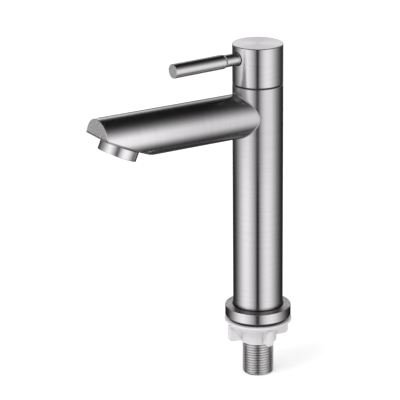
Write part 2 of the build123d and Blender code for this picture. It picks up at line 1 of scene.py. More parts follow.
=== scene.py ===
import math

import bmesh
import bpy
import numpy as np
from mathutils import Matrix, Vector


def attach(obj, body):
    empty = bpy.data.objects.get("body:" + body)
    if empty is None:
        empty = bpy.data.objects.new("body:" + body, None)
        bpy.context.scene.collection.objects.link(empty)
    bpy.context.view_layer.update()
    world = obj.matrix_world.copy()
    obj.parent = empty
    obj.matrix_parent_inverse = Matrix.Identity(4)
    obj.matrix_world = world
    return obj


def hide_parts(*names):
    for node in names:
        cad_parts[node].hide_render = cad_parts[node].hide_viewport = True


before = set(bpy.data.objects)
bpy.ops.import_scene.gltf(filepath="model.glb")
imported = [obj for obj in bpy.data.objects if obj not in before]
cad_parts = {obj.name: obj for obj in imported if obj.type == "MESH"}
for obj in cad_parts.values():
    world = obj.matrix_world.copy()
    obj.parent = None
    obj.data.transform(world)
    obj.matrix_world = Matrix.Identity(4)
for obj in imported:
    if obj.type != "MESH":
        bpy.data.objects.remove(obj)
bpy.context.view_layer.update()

# %% [markdown]
# # A cloakroom basin tap in brushed steel
# The real tap is a tall column of round tube with a straight spout welded to it, a cap that
# turns on top with a rod for a lever, a round foot, and a threaded tail that hangs below the
# basin with a white plastic washer and a winged nut. The packed model already has every piece
# at its true size and place. This lesson dresses it: the pieces that show are made again as
# smooth surfaces from formulas, and every piece gets a finish made from nodes.

MM = 0.001          # one millimetre in metres
print("pieces in the model:", len(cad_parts))

# %% [markdown]
# ## Sizes
# The tap is measured once, in millimetres, from the basin's top face upwards. The column
# stands on the origin, and the spout points along minus Y. The shut lever points the same way,
# but for a few degrees. Every surface below is worked out from these numbers, so a piece meets
# its neighbour without any fitting.

# %% Sizes of the tap
GASKET_TOP = 2.2            # the foot stands on a rubber ring
FLANGE_RIM = 9.4            # where the foot's wall ends and its top starts to rise
FLANGE_TOP = 9.85
PLUG_RADIUS = 17.4          # the plug's collar, on which the column stands
COLUMN_RADIUS = 16.75
COLUMN_BORE = 15.25         # a bore is the inner radius of a tube
COLUMN_FOOT = 10.15
COLUMN_HEAD = 163.9
SPOUT_RADIUS = 14.8
SPOUT_BORE = 13.6
SPOUT_HEIGHT = 144.0        # of the spout's axis
SPOUT_REACH = 120.0         # from the column's axis to the tip
COPE_RADIUS = 16.8          # of the spout's cut that fits round the column
PORT_RADIUS = 9.0           # of the water's way through the column's wall
PLATE = 1.2                 # thickness of the plates that close the tip and the underside
SOLE_SLOPE = math.radians(24.1)
CHORD_HEIGHT = 146.5        # where the sole's plane meets the tip's
CAP_FOOT = 164.7
CAP_TOP = 191.1
CAP_CEILING = 188.3
CAP_BORE = 14.5
LEVER_HEIGHT = 183.0        # of the lever's axis
LEVER_HOLE = 4.675
LEVER_REACH = 67.0
LEVER_TURN = math.radians(3.8)      # the shut lever stands this far off the spout
SCREW_HEIGHT = 175.7        # of the hole behind, for the grub screw
SCREW_HOLE = 2.56
THREAD_RADIUS = 10.4775     # of the crests
THREAD_BORE = 10.5375       # what fits over them
THREAD_PITCH = 25.4 / 14    # fourteen turns to the inch
THREAD_DEPTH = 1.162
TAIL_FOOT = -39.5
TAIL_HEAD = 16.7
WASHER_FOOT = -1.6          # the washer is screwed all the way up, with the nut under it
WASHER_BORE = 10.9975
print("the spout's axis is", SPOUT_HEIGHT, "mm above the basin")

# %% [markdown]
# ## Grids and shells
# Each surface is a grid of points: rows one way, columns the other. Neighbouring points make
# four-cornered faces. A grid that closes on itself both ways, like the skin of a ring, is a
# watertight shell, which is what a real piece of metal has. The points go into the mesh as
# whole arrays, so even a fine surface takes only a moment.

# %% Grids of points into meshes
def grid_faces(rows, columns, wrap_rows=False, wrap_columns=False):
    """Corners of the faces between neighbouring rows and columns of a grid of points."""
    row = np.arange(rows if wrap_rows else rows - 1)
    column = np.arange(columns if wrap_columns else columns - 1)
    i, j = np.meshgrid(row, column, indexing="ij")
    i_next, j_next = (i + 1) % rows, (j + 1) % columns
    corners = [i * columns + j, i * columns + j_next,
               i_next * columns + j_next, i_next * columns + j]
    return np.stack(corners, axis=-1).reshape(-1, 4)


def signed_volume(points, faces):
    """Sum over the faces of (a x b) . c / 6 for both halves of each face, which is above 0 where
    they face outwards."""
    a, b, c, d = (points[faces[:, k]] for k in range(4))
    first = np.einsum("ij,ij->i", np.cross(a, b), c)
    second = np.einsum("ij,ij->i", np.cross(a, c), d)
    return (first + second).sum() / 6


def shell(name, points, faces, body, slot, *hidden, sharp=30):
    """Makes an object from points in mm, faces outward, doubles merged, and lets it ride a body."""
    points = np.asarray(points, float).reshape(-1, 3)
    if signed_volume(points, faces) < 0:
        faces = faces[:, ::-1]
    mesh = bpy.data.meshes.new(name)
    mesh.from_pydata((points * MM).tolist(), [], faces.tolist())
    piece = bpy.data.objects.new(name, mesh)
    bpy.context.scene.collection.objects.link(piece)
    bpy.context.view_layer.objects.active = piece
    merge_doubles(mesh)
    mesh.shade_smooth()
    mesh.set_sharp_from_angle(angle=math.radians(sharp))
    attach(piece, body)
    if hidden:
        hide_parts(*hidden)
    print(name, "has", len(mesh.polygons), "faces")
    return piece


def merge_doubles(mesh, apart=2e-7):
    """Joins points that are no further apart than this many metres, which closes seams and turns
    poles into fans."""
    work = bmesh.new()
    work.from_mesh(mesh)
    bmesh.ops.remove_doubles(work, verts=work.verts, dist=apart)
    work.to_mesh(mesh)
    work.free()


print("a grid of 3 rows and 4 columns has", len(grid_faces(3, 4)), "faces")

# %% [markdown]
# ## Turned pieces
# The flange, the plug with its collar, the seam ring, the lever and the aerator's collar are all
# turned on a lathe, and the gasket and the washer are as round. Such a piece is one outline
# carried round an axis. No real edge is perfectly sharp: a small radius on each corner is what
# catches the light, so the outline's corners are rounded before it is turned.

# %% Outlines with rounded corners, carried round an axis
def rounded(corners, closed=True, steps=6, hold=0.04):
    """Rounds an outline whose corners are (across, along, radius).
    Corner P becomes the curve (1 - s)^2 (P + a t) + 2 s (1 - s) P + s^2 (P + b t), where a and b
    point to the corners before and after, and t is the radius over the tangent of half the
    corner's angle. A held point just outside each curve keeps the flat beside it flat."""
    corners = np.asarray(corners, float)
    place, radius = corners[:, :2], corners[:, 2]
    before = np.roll(place, 1, axis=0) - place
    after = np.roll(place, -1, axis=0) - place
    before /= np.linalg.norm(before, axis=1, keepdims=True)
    after /= np.linalg.norm(after, axis=1, keepdims=True)
    half_angle = np.arccos(np.clip((before * after).sum(axis=1), -1, 1)) / 2
    reach = (radius / np.tan(half_angle))[:, None]
    start, end = place + before * reach, place + after * reach
    s = np.linspace(0, 1, steps + 1)[None, :, None]
    curve = (1 - s) ** 2 * start[:, None] + 2 * s * (1 - s) * place[:, None] + s ** 2 * end[:, None]
    held = [(start + before * hold)[:, None], curve, (end + after * hold)[:, None]]
    outline = np.concatenate(held, axis=1)
    if closed:
        return outline.reshape(-1, 2)
    return np.concatenate([place[:1], outline[1:-1].reshape(-1, 2), place[-1:]])


def turned(outline, origin=(0, 0, 0), axis=(0, 0, 1), segments=256, closed=True):
    """Carries an outline of (radius, distance along) round an axis.
    Point = origin + radius (cos t u + sin t v) + distance axis, with u and v square to the axis."""
    axis = np.asarray(axis, float) / np.linalg.norm(axis)
    u = np.array([1.0, 0.0, 0.0])
    v = np.cross(axis, u)
    t = np.linspace(0, 2 * np.pi, segments, endpoint=False)[None, :, None]
    radius, along = outline[:, 0][:, None, None], outline[:, 1][:, None, None]
    points = np.asarray(origin, float) + radius * (np.cos(t) * u + np.sin(t) * v) + along * axis
    return points, grid_faces(len(outline), segments, wrap_rows=closed, wrap_columns=True)


CORNER_POINTS = len(rounded([(0, 0, 1), (9, 0, 1), (0, 9, 1)])) // 3
print("a rounded corner has", CORNER_POINTS, "points")

# %% [markdown]
# ## The foot
# The flange is a loose turned ring, held down by the collar of a plug that is welded into the
# column. The collar shows as a low step round the column. Under the flange a black rubber ring
# seals against the basin, and below the basin a white plastic washer takes the nut's rubbing.

# %% Flange, plug, gasket and washer
flange_outline = rounded([
    (14.15, GASKET_TOP, 0.1), (22.15, GASKET_TOP, 0.55), (22.15, FLANGE_RIM, 0.6),
    (PLUG_RADIUS, FLANGE_TOP, 0.1), (14.15, FLANGE_TOP, 0.1),
])
base_flange = shell("flange", *turned(flange_outline, segments=320),
                    "tap", "brushed_steel", "base_flange")

plug_outline = rounded([
    (THREAD_BORE, GASKET_TOP, 0.05), (13.9975, GASKET_TOP, 0.1), (13.9975, FLANGE_TOP, 0.03),
    (PLUG_RADIUS, FLANGE_TOP, 0.04), (PLUG_RADIUS, COLUMN_FOOT, 0.15), (15.2, COLUMN_FOOT, 0.03),
    (15.2, 24.1, 0.1), (6.05, 24.1, 0.1), (6.05, 22.5, 0.03), (7.9, 22.5, 0.03),
    (7.9, 20.3, 0.03), (6.05, 20.3, 0.03), (6.05, 18.8, 0.03), (5.0, 18.8, 0.03),
    (5.0, 16.8, 0.1), (THREAD_BORE, 16.8, 0.05),
])
base_collar = shell("foot_plug", *turned(plug_outline), "tap", "brushed_steel", "base_plug")

gasket_outline = rounded([
    (WASHER_BORE, 0, 0.2), (20.2, 0, 0.3), (20.2, GASKET_TOP, 0.3), (WASHER_BORE, GASKET_TOP, 0.2),
])
gasket = shell("foot_gasket", *turned(gasket_outline, segments=320),
               "tap", "black_rubber", "deck_gasket")

washer_outline = rounded([
    (WASHER_BORE, WASHER_FOOT, 0.2), (22.7, WASHER_FOOT, 0.45),
    (22.7, 0, 0.45), (WASHER_BORE, 0, 0.2),
])
washer = shell("slip_washer", *turned(washer_outline, segments=320), "washer", "white_plastic",
               "friction_washer")

# %% [markdown]
# ## Walls with holes
# The column and the cap are tubes with round holes drilled through the wall. A grid has no
# place for a round hole, so a square patch of cells is left out of it, and a second grid fills
# the patch: its outer rows lie on the patch's border and its last row is the hole's rim.

# %% A patch of rings round a hole
def patch(outline, columns, rows, level, hole_radius, side, half_columns, rings=8):
    """Fills one square patch of a turned shell, of rows from (low, high) and half_columns each way
    from the column number side, with rings of points round a hole.
    Between the border B and the rim R a point is B + s (R - B), in mm round and up the wall, and
    the rim lies arcsin(x / radius) round from the hole's middle, so it is a true circle seen
    straight on. Returns the border's numbers, the new points and their bearings."""
    low, high = rows
    climb = np.linspace(low, high, abs(high - low) + 1).astype(int)
    left, right = side - half_columns, side + half_columns
    across = np.arange(left, right + 1)
    row = np.concatenate([np.full(len(across) - 1, low), climb[:-1],
                          np.full(len(across) - 1, high), climb[:0:-1]])
    column = np.concatenate([across[:-1], np.full(len(climb) - 1, right),
                             across[:0:-1], np.full(len(climb) - 1, left)])
    radius = outline[low, 0]
    offset = (column - side) * 2 * np.pi / columns * radius
    lift = outline[row, 1] - level
    bearing = np.arctan2(lift, offset)
    rim_offset = np.arcsin(hole_radius * np.cos(bearing) / radius) * radius
    rim_lift = hole_radius * np.sin(bearing)
    s = (np.arange(1, rings + 1) / rings)[:, None]
    turn = (offset + s * (rim_offset - offset)) / radius + side * 2 * np.pi / columns
    height = level + lift + s * (rim_lift - lift)
    points = np.stack([radius * np.sin(turn), -radius * np.cos(turn), height], axis=-1)
    return row * columns + column % columns, points, bearing


def ring_faces(index):
    """Faces between rows of point numbers that each close into a ring."""
    after = np.roll(index, -1, axis=1)
    return np.stack([index[:-1], after[:-1], after[1:], index[1:]], axis=-1).reshape(-1, 4)


two_rings = np.arange(16).reshape(2, 8)
print("between two rings of 8 points there are", len(ring_faces(two_rings)), "faces")

# %% [markdown]
# ## Through the wall
# A hole has a rim outside and a rim inside, and a short round wall between them. Rings of points
# carry on from the outer patch through the wall to the inner patch, so the whole tube stays one
# closed surface. A drilled hole has its outer edge softened, and so has this one.

# %% A turned shell with round holes through its wall
def pierced_turn(outline, holes, columns=240, edge=0.15, closed=True):
    """Carries an outline round the Z axis and opens round holes along Y in it. Each hole is
    (side: -1 or 1, height, radius, first outer row, first inner row, rows, columns each way).
    Inside the wall the hole is loops of x = h cos b, z = height + h sin b and
    y = sqrt(wall radius^2 - x^2), where h narrows over the softened edge."""
    turn = np.arange(columns) * 2 * np.pi / columns
    radius, height = outline[:, 0][:, None], outline[:, 1][:, None]
    base = np.stack([radius * np.sin(turn), -radius * np.cos(turn),
                     np.broadcast_to(height, (len(outline), columns))], axis=-1)
    cells = np.ones((len(outline) if closed else len(outline) - 1, columns), bool)
    points, faces, count = [base.reshape(-1, 3)], [], base.size // 3
    for side, level, hole_radius, outer_row, inner_row, rows, half_columns in holes:
        middle = 0 if side < 0 else columns // 2
        gap = np.arange(middle - half_columns, middle + half_columns) % columns
        cells[outer_row:outer_row + rows, gap] = False
        cells[inner_row:inner_row + rows, gap] = False
        outer = patch(outline, columns, (outer_row, outer_row + rows), level,
                      hole_radius + edge, middle, half_columns)
        inner = patch(outline, columns, (inner_row + rows, inner_row), level,
                      hole_radius, middle, half_columns)
        quarter = np.linspace(0, np.pi / 2, 5)[1:, None]
        h = hole_radius + edge * (1 - np.sin(quarter))
        wall = outline[outer_row, 0] - edge * (1 - np.cos(quarter))
        x = h * np.cos(outer[2])
        through = np.stack([-side * x, side * np.sqrt(wall ** 2 - x ** 2),
                            level + h * np.sin(outer[2])], axis=-1)
        loops = [outer[1], through, inner[1][::-1]]
        size = outer[1].shape[1]
        total = sum(len(loop) for loop in loops)
        index = count + np.arange(total * size).reshape(total, size)
        faces.append(ring_faces(np.concatenate([outer[0][None], index, inner[0][None]])))
        points += [loop.reshape(-1, 3) for loop in loops]
        count += total * size
    i, j = np.nonzero(cells)
    i_next, j_next = (i + 1) % len(outline), (j + 1) % columns
    faces.append(np.stack([i * columns + j, i * columns + j_next,
                           i_next * columns + j_next, i_next * columns + j], axis=-1))
    return np.concatenate(points), np.concatenate(faces)


def with_rows(outline, at, radius, heights):
    """Adds rows of one radius to an outline, in front of its point number at."""
    rows = np.stack([np.full(len(heights), radius), heights], axis=-1)
    return np.insert(outline, at, rows, axis=0)


longer = with_rows(np.zeros((2, 2)), 1, COLUMN_RADIUS, np.linspace(0, 1, 3))
print("an outline of 2 points with 3 rows added has", len(longer), "points")

# %% [markdown]
# ## The column
# The column is drawn tube, brushed round and round on a lathe. Water reaches the spout through
# a port in its wall, between rows that are added for it inside and outside. The column's top
# edge is rounded a little, which makes the light line under the dark seam ring.

# %% Column and seam ring
port_rows = np.linspace(SPOUT_HEIGHT - 11, SPOUT_HEIGHT + 11, 25)     # past the port both ways
column_outline = rounded([
    (COLUMN_RADIUS, COLUMN_FOOT, 0.05), (COLUMN_RADIUS, COLUMN_HEAD, 0.3),
    (COLUMN_BORE, COLUMN_HEAD, 0.1), (COLUMN_BORE, COLUMN_FOOT, 0.1),
])
column_outline = with_rows(column_outline, 3 * CORNER_POINTS, COLUMN_BORE, port_rows[::-1])
column_outline = with_rows(column_outline, CORNER_POINTS, COLUMN_RADIUS, port_rows)
first_outer = CORNER_POINTS
first_inner = 3 * CORNER_POINTS + len(port_rows)
port = (-1, SPOUT_HEIGHT, PORT_RADIUS, first_outer, first_inner, len(port_rows) - 1, 30)
column = shell("column", *pierced_turn(column_outline, [port]), "tap", "brushed_steel", "body_tube")

seam_outline = rounded([
    (13.7, 161.3, 0.1), (15.2, 161.3, 0.1), (15.2, COLUMN_HEAD, 0.03),
    (16.45, COLUMN_HEAD, 0.05), (16.45, 164.6, 0.05), (13.7, 164.6, 0.1),
])
seam_ring = shell("seam_ring", *turned(seam_outline), "tap", "dark_plastic", "slip_ring")

# %% [markdown]
# ## The cap
# The cap is a turned cup. The lever passes through a hole in front that is wider than its neck,
# so a dark ring shows round the neck. A smaller hole behind takes the grub screw and its plug.
# The whole cap is turned a few degrees with the lever, which isn't quite over the spout.

# %% Cap
def swung(points):
    """Points turned about the Z axis by the shut lever's angle t, which takes (x, y) to
    (x cos t - y sin t, x sin t + y cos t)."""
    x, y, z = np.moveaxis(points, -1, 0)
    c, s = math.cos(LEVER_TURN), math.sin(LEVER_TURN)
    return np.stack([x * c - y * s, x * s + y * c, z], axis=-1)


cap_rows = LEVER_HEIGHT + 0.56 * np.arange(-19, 10)      # past both holes, 18 and 11 rows high
cap_outline = rounded([
    (0, CAP_CEILING, 0), (CAP_BORE, CAP_CEILING, 0.1), (CAP_BORE, CAP_FOOT, 0.1),
    (COLUMN_RADIUS, CAP_FOOT, 0.6), (COLUMN_RADIUS, CAP_TOP, 0.75), (0, CAP_TOP, 0),
], closed=False)
cap_outline = with_rows(cap_outline, 1 + 3 * CORNER_POINTS, COLUMN_RADIUS, cap_rows)
cap_outline = with_rows(cap_outline, 1 + CORNER_POINTS, CAP_BORE, cap_rows[::-1])
first_inner = 1 + CORNER_POINTS
first_outer = 1 + 3 * CORNER_POINTS + len(cap_rows)
lever_hole = (-1, LEVER_HEIGHT, LEVER_HOLE, first_outer + 10, first_inner, 18, 14)
screw_hole = (1, SCREW_HEIGHT, SCREW_HOLE, first_outer, first_inner + 17, 11, 9)
cap_points, cap_faces = pierced_turn(cap_outline, [lever_hole, screw_hole], closed=False)
cap = shell("cap", swung(cap_points), cap_faces, "handle", "brushed_steel", "handle_cap")

# %% [markdown]
# ## The lever
# The lever is turned from one bar: a hidden stud, a neck, a short cone and the grip. The real
# spout doesn't mirror it as a bright streak, and this one would, so reflections leave the lever
# out. It keeps its own look. The plug behind the cap is a plain plastic button.

# %% Lever and plug
lever_outline = rounded([
    (0, 6.5, 0), (3.0, 6.5, 0.2), (3.0, 13.4, 0.05), (4.075, 13.4, 0.1), (4.075, 26.7, 0.08),
    (4.7, 28.25, 0.12), (4.7, LEVER_REACH, 0.4), (0, LEVER_REACH, 0),
], closed=False)
lever_points, lever_faces = turned(lever_outline, (0, 0, LEVER_HEIGHT), (0, -1, 0), 128,
                                   closed=False)
lever = shell("lever", swung(lever_points), lever_faces, "handle", "brushed_steel", "lever_rod")
lever.visible_glossy = False

plug_button_outline = rounded([
    (0, 14.4, 0), (2.5, 14.4, 0.1), (2.5, 16.55, 0.25), (0, 16.55, 0),
], closed=False)
plug_points, plug_faces = turned(plug_button_outline, (0, 0, SCREW_HEIGHT), (0, 1, 0), 96,
                                 closed=False)
plug_button = shell("screw_plug", swung(plug_points), plug_faces,
                    "handle", "grey_plastic", "index_plug")

# %% [markdown]
# ## The spout
# The spout is a straight tube. At one end it is cut to fit round the column, and at the other
# it is cut square above and slanted below. Lines along the tube stay straight, so the surface
# is a ruled one: each line runs from the cope to whichever of the two cuts it meets first.

# %% Spout tube
def sole_distance(height, inside):
    """Distance along Y where a level meets the sole's plane, moved inside by so many mm."""
    drop = inside - math.cos(SOLE_SLOPE) * (height - CHORD_HEIGHT)
    return -SPOUT_REACH + drop / math.sin(SOLE_SLOPE)


def chord_level(distance, inside):
    """Height at which an upright plane meets the sole's plane, moved inside by so many mm."""
    rise = inside - math.sin(SOLE_SLOPE) * (distance + SPOUT_REACH)
    return CHORD_HEIGHT + rise / math.cos(SOLE_SLOPE)


square_cut = -SPOUT_REACH + PLATE
# a line of the grid runs on each side at the bearing where the two cuts meet
corner = math.acos((chord_level(square_cut, PLATE) - SPOUT_HEIGHT) / SPOUT_RADIUS)
round_the_tube = np.linspace(-np.pi, np.pi, 320, endpoint=False)
bearing = np.sort(np.concatenate([round_the_tube, [corner, -corner]]))
along = np.linspace(0, 1, 9)[:, None]
walls = []
for radius in (SPOUT_RADIUS, SPOUT_BORE):
    x, z = radius * np.sin(bearing), SPOUT_HEIGHT + radius * np.cos(bearing)
    cope = -np.sqrt(COPE_RADIUS ** 2 - x ** 2)
    end = np.maximum(square_cut, sole_distance(z, PLATE))
    y = cope + along * (end - cope)
    walls.append(np.stack([np.broadcast_to(x, y.shape), y, np.broadcast_to(z, y.shape)], axis=-1))
spout_points = np.concatenate([walls[0], walls[1][::-1]])
spout = shell("spout", spout_points, grid_faces(*spout_points.shape[:2], True, True),
              "tap", "brushed_steel", "spout_tube")

# %% [markdown]
# ## The tip
# A plate closes the tip. It is flush with the tube, because the real joint is welded and ground
# smooth, and the grinding leaves a small round edge. The plate is a stack of disc outlines, each
# cut off below by the sole's plane, from the joint round the edge to a point in its middle.

# %% End plate
def cut_disc(radius, distance, arc=128, chord=24):
    """Rows of a disc across the spout, cut off below by the sole's inner plane: an arc of
    (r cos a, y, axis + r sin a), and then the straight chord back to its start."""
    radius, distance = np.asarray(radius, float)[:, None], np.asarray(distance, float)[:, None]
    level = chord_level(distance, PLATE)
    start = np.arcsin((level - SPOUT_HEIGHT) / radius)
    a = start + np.linspace(0, 1, arc) * (np.pi - 2 * start)
    x, z = radius * np.cos(a), SPOUT_HEIGHT + radius * np.sin(a)
    back = x[:, -1:] + np.linspace(0, 1, chord + 2)[1:-1] * (x[:, :1] - x[:, -1:])
    x = np.concatenate([x, back], axis=1)
    z = np.concatenate([z, np.broadcast_to(level, back.shape)], axis=1)
    return np.stack([x, np.broadcast_to(distance, x.shape), z], axis=-1)


TIP_EDGE = 0.6          # radius of the round edge
FLAT_START = 0.05       # a row this far inside an edge keeps the flat beside it flat
bend = np.linspace(0, np.pi / 2, 6)
rim_radius = np.concatenate([[SPOUT_RADIUS], SPOUT_RADIUS - TIP_EDGE * (1 - np.cos(bend)),
                             [SPOUT_RADIUS - TIP_EDGE - FLAT_START]])
rim_distance = np.concatenate([[square_cut], -SPOUT_REACH + TIP_EDGE * (1 - np.sin(bend)),
                               [-SPOUT_REACH]])
end_rows = cut_disc(rim_radius, rim_distance)
middle_height = SPOUT_HEIGHT + 9        # well inside what is left of the disc
poles = np.array([[0, square_cut, middle_height], [0, -SPOUT_REACH, middle_height]])
poles = np.repeat(poles[:, None], end_rows.shape[1], axis=1)
end_points = np.concatenate([poles[:1], end_rows, poles[1:]])
end_plate = shell("end_plate", end_points, grid_faces(*end_points.shape[:2], False, True),
                  "tap", "brushed_steel", "spout_end_plate")

# %% [markdown]
# ## The sole
# A slanted plate closes the underside of the tip, and carries a short threaded nipple for the
# aerator. Its outline is the spout's own, cut along a slope, which is a long oval with a straight
# end. The hole is round. One grid can still make both, if the points of each ring stand in the
# same directions from the nipple's middle as the outline's points do.

# %% Sole plate and nipple
SOLE_OUT = np.array([0, -math.sin(SOLE_SLOPE), -math.cos(SOLE_SLOPE)])      # square to the plate
SOLE_DOWN = np.array([0, math.cos(SOLE_SLOPE), -math.sin(SOLE_SLOPE)])      # down along it
CHORD_POINT = np.array([0, -SPOUT_REACH, CHORD_HEIGHT])
AERATOR_DOWN = 18.1     # from the tip's edge down the plate to the nipple's middle
AERATOR_CENTRE = CHORD_POINT + AERATOR_DOWN * SOLE_DOWN
SOLE_EDGE = 0.25        # radius of the plate's round edge


def sole_outline(radius, inside, arc=200, chord=30):
    """Outline of the spout cut along the sole's plane: an arc of (r cos a, y, axis + r sin a)
    from one end of the chord down round the belly to the other, and then the chord."""
    level = CHORD_HEIGHT + inside / math.cos(SOLE_SLOPE)
    start = math.asin((level - SPOUT_HEIGHT) / radius)
    a = start - np.linspace(0, 1, arc) * (np.pi + 2 * start)
    x, z = radius * np.cos(a), SPOUT_HEIGHT + radius * np.sin(a)
    back = np.linspace(x[-1], x[0], chord + 2)[1:-1]
    x, z = np.concatenate([x, back]), np.concatenate([z, np.full(chord, level)])
    return np.stack([x, sole_distance(z, inside), z], axis=-1)


soft = np.linspace(0, np.pi / 2, 5)
outline_rows = [sole_outline(SPOUT_RADIUS, PLATE)]
outline_rows += [sole_outline(SPOUT_RADIUS - SOLE_EDGE * (1 - np.cos(a)),
                              SOLE_EDGE * (1 - np.sin(a))) for a in soft]
outline_rows += [sole_outline(SPOUT_RADIUS - SOLE_EDGE - FLAT_START, 0)]
rim = outline_rows[-1] - AERATOR_CENTRE
around = np.arctan2(rim @ SOLE_DOWN, rim[:, 0])[:, None]
nipple = [(11.65, 0), (11.65, 3.5), (11.45, 3.7), (10.4, 3.7), (10.2, 3.5), (10.2, -PLATE)]
rays = np.cos(around) * np.array([1.0, 0, 0]) + np.sin(around) * SOLE_DOWN
nipple_rows = [AERATOR_CENTRE + r * rays + out * SOLE_OUT for r, out in nipple]
sole_points = np.stack(outline_rows + nipple_rows)
sole = shell("sole_plate", sole_points, grid_faces(*sole_points.shape[:2], True, True),
             "tap", "brushed_steel", "spout_sole_plate")

# %% [markdown]
# ## The aerator
# The collar under the tip is a turned ring screwed onto the nipple. It holds a plastic core and
# a fine screen, which the packed model already shows well.

# %% Aerator collar
collar_outline = rounded([
    (11.75, 0.3, 0.1), (12.95, 0.3, 0.35), (12.95, 6.9, 0.4),
    (10.65, 6.9, 0.2), (10.65, 5.9, 0.1), (11.75, 5.9, 0.1),
])
collar = shell("aerator_collar", *turned(collar_outline, AERATOR_CENTRE, SOLE_OUT, 192),
               "tap", "polished_steel", "aerator_housing")

# %% [markdown]
# ## The weld
# Where the spout meets the column there is a thin bead of weld. It follows the saddle curve on
# which the two tubes cross, so it is a thin round rod carried along that curve.

# %% Weld bead
def weld_bead(bead_radius=0.34, ripples=70, ripple_height=0.02, segments=400, around=10):
    """Curve: (r sin b, -sqrt(R^2 - r^2 sin^2 b), axis + r cos b), for the spout's radius r and
    the column's radius R. The rod is circles square to the curve, of the bead's radius plus
    ripple height times sin(ripples b)."""
    b = np.linspace(0, 2 * np.pi, segments, endpoint=False)
    x = SPOUT_RADIUS * np.sin(b)
    y = -np.sqrt(COLUMN_RADIUS ** 2 - x ** 2)
    curve = np.stack([x, y, SPOUT_HEIGHT + SPOUT_RADIUS * np.cos(b)], axis=-1)
    ahead = np.roll(curve, -1, axis=0) - np.roll(curve, 1, axis=0)
    ahead /= np.linalg.norm(ahead, axis=1, keepdims=True)
    out = curve * [1, 1, 0]
    out -= (out * ahead).sum(axis=1, keepdims=True) * ahead
    out /= np.linalg.norm(out, axis=1, keepdims=True)
    side = np.cross(ahead, out)
    a = np.linspace(0, 2 * np.pi, around, endpoint=False)[:, None, None]
    thick = (bead_radius + ripple_height * np.sin(ripples * b))[None, :, None]
    return curve + thick * (np.cos(a) * out + np.sin(a) * side)


bead_points = weld_bead()
bead = shell("weld_bead", bead_points, grid_faces(*bead_points.shape[:2], True, True),
             "tap", "brushed_steel")

# %% [markdown]
# ## The threaded tail
# A pipe thread is a helix, not a stack of rings. The grid's rows climb with the thread, one
# pitch each turn, so the crests run along the rows and stay smooth. Where the last column meets
# the first, each row joins the row one pitch further up.

# %% Threaded tail
def threaded_tail(rows_per_pitch=12, columns=160, soften=0.965, flat=0.16, bevel=0.8):
    """Radius = crest - depth * wave, where wave is arccos(-soften cos(2 pi phase)) / pi, a
    triangle wave with rounded tips, and phase counts the pitches climbed. The lowest share of the
    wave, flat, is cut off, which leaves the crests flat. Above and below the tail's ends the rows
    fold onto the end faces, where they merge away. The ends are bevelled."""
    turns = math.ceil((TAIL_HEAD - TAIL_FOOT) / THREAD_PITCH) + 2
    rows = turns * rows_per_pitch + 1
    step = np.arange(rows)[:, None] / rows_per_pitch
    share = np.arange(columns)[None, :] / columns
    height = TAIL_FOOT - THREAD_PITCH + (step + share) * THREAD_PITCH
    z = np.clip(height, TAIL_FOOT, TAIL_HEAD)
    phase = (z - TAIL_FOOT) / THREAD_PITCH - share
    wave = np.arccos(-soften * np.cos(2 * np.pi * phase)) / np.pi
    low, high = math.acos(soften) / math.pi, 1 - math.acos(soften) / math.pi
    wave = np.clip((wave - low - flat) / (high - low - flat), 0, 1)
    from_end = np.minimum(z - TAIL_FOOT, TAIL_HEAD - z)
    radius = np.minimum(THREAD_RADIUS - THREAD_DEPTH * wave, THREAD_RADIUS - bevel + from_end)
    angle = 2 * np.pi * share
    wall = np.stack([radius * np.cos(angle), radius * np.sin(angle), z], axis=-1)
    bore = np.array([[7.45, TAIL_HEAD], [7.25, TAIL_HEAD - 0.2],
                     [7.25, TAIL_FOOT + 0.3], [7.55, TAIL_FOOT]])
    inside = np.stack([bore[:, :1] * np.cos(angle), bore[:, :1] * np.sin(angle),
                       np.broadcast_to(bore[:, 1:], (4, columns))], axis=-1)
    points = np.concatenate([wall, inside])
    number = np.arange(rows * columns).reshape(rows, columns)
    climbing = np.stack([number[:-1, :-1], number[:-1, 1:],
                         number[1:, 1:], number[1:, :-1]], axis=-1)
    late, early = number[:-rows_per_pitch, -1], number[rows_per_pitch:, 0]
    seam = np.stack([late[:-1], early[:-1], early[1:], late[1:]], axis=-1)
    ends = rows * columns + np.arange(4 * columns).reshape(4, columns)
    ends = np.concatenate([number[-1:], ends, number[:1]])
    return points.reshape(-1, 3), np.concatenate([climbing.reshape(-1, 4), seam, ring_faces(ends)])


tail = shell("threaded_tail", *threaded_tail(), "tap", "turned_steel", "threaded_shank", sharp=50)

# %% [markdown]
# ## The winged nut
# The nut is one white moulding: a flat disc that presses on the washer, a hub with the thread,
# and four wings for the fingers. Plastic leaves its mould with soft edges, so every edge of the
# wings is a quarter round.

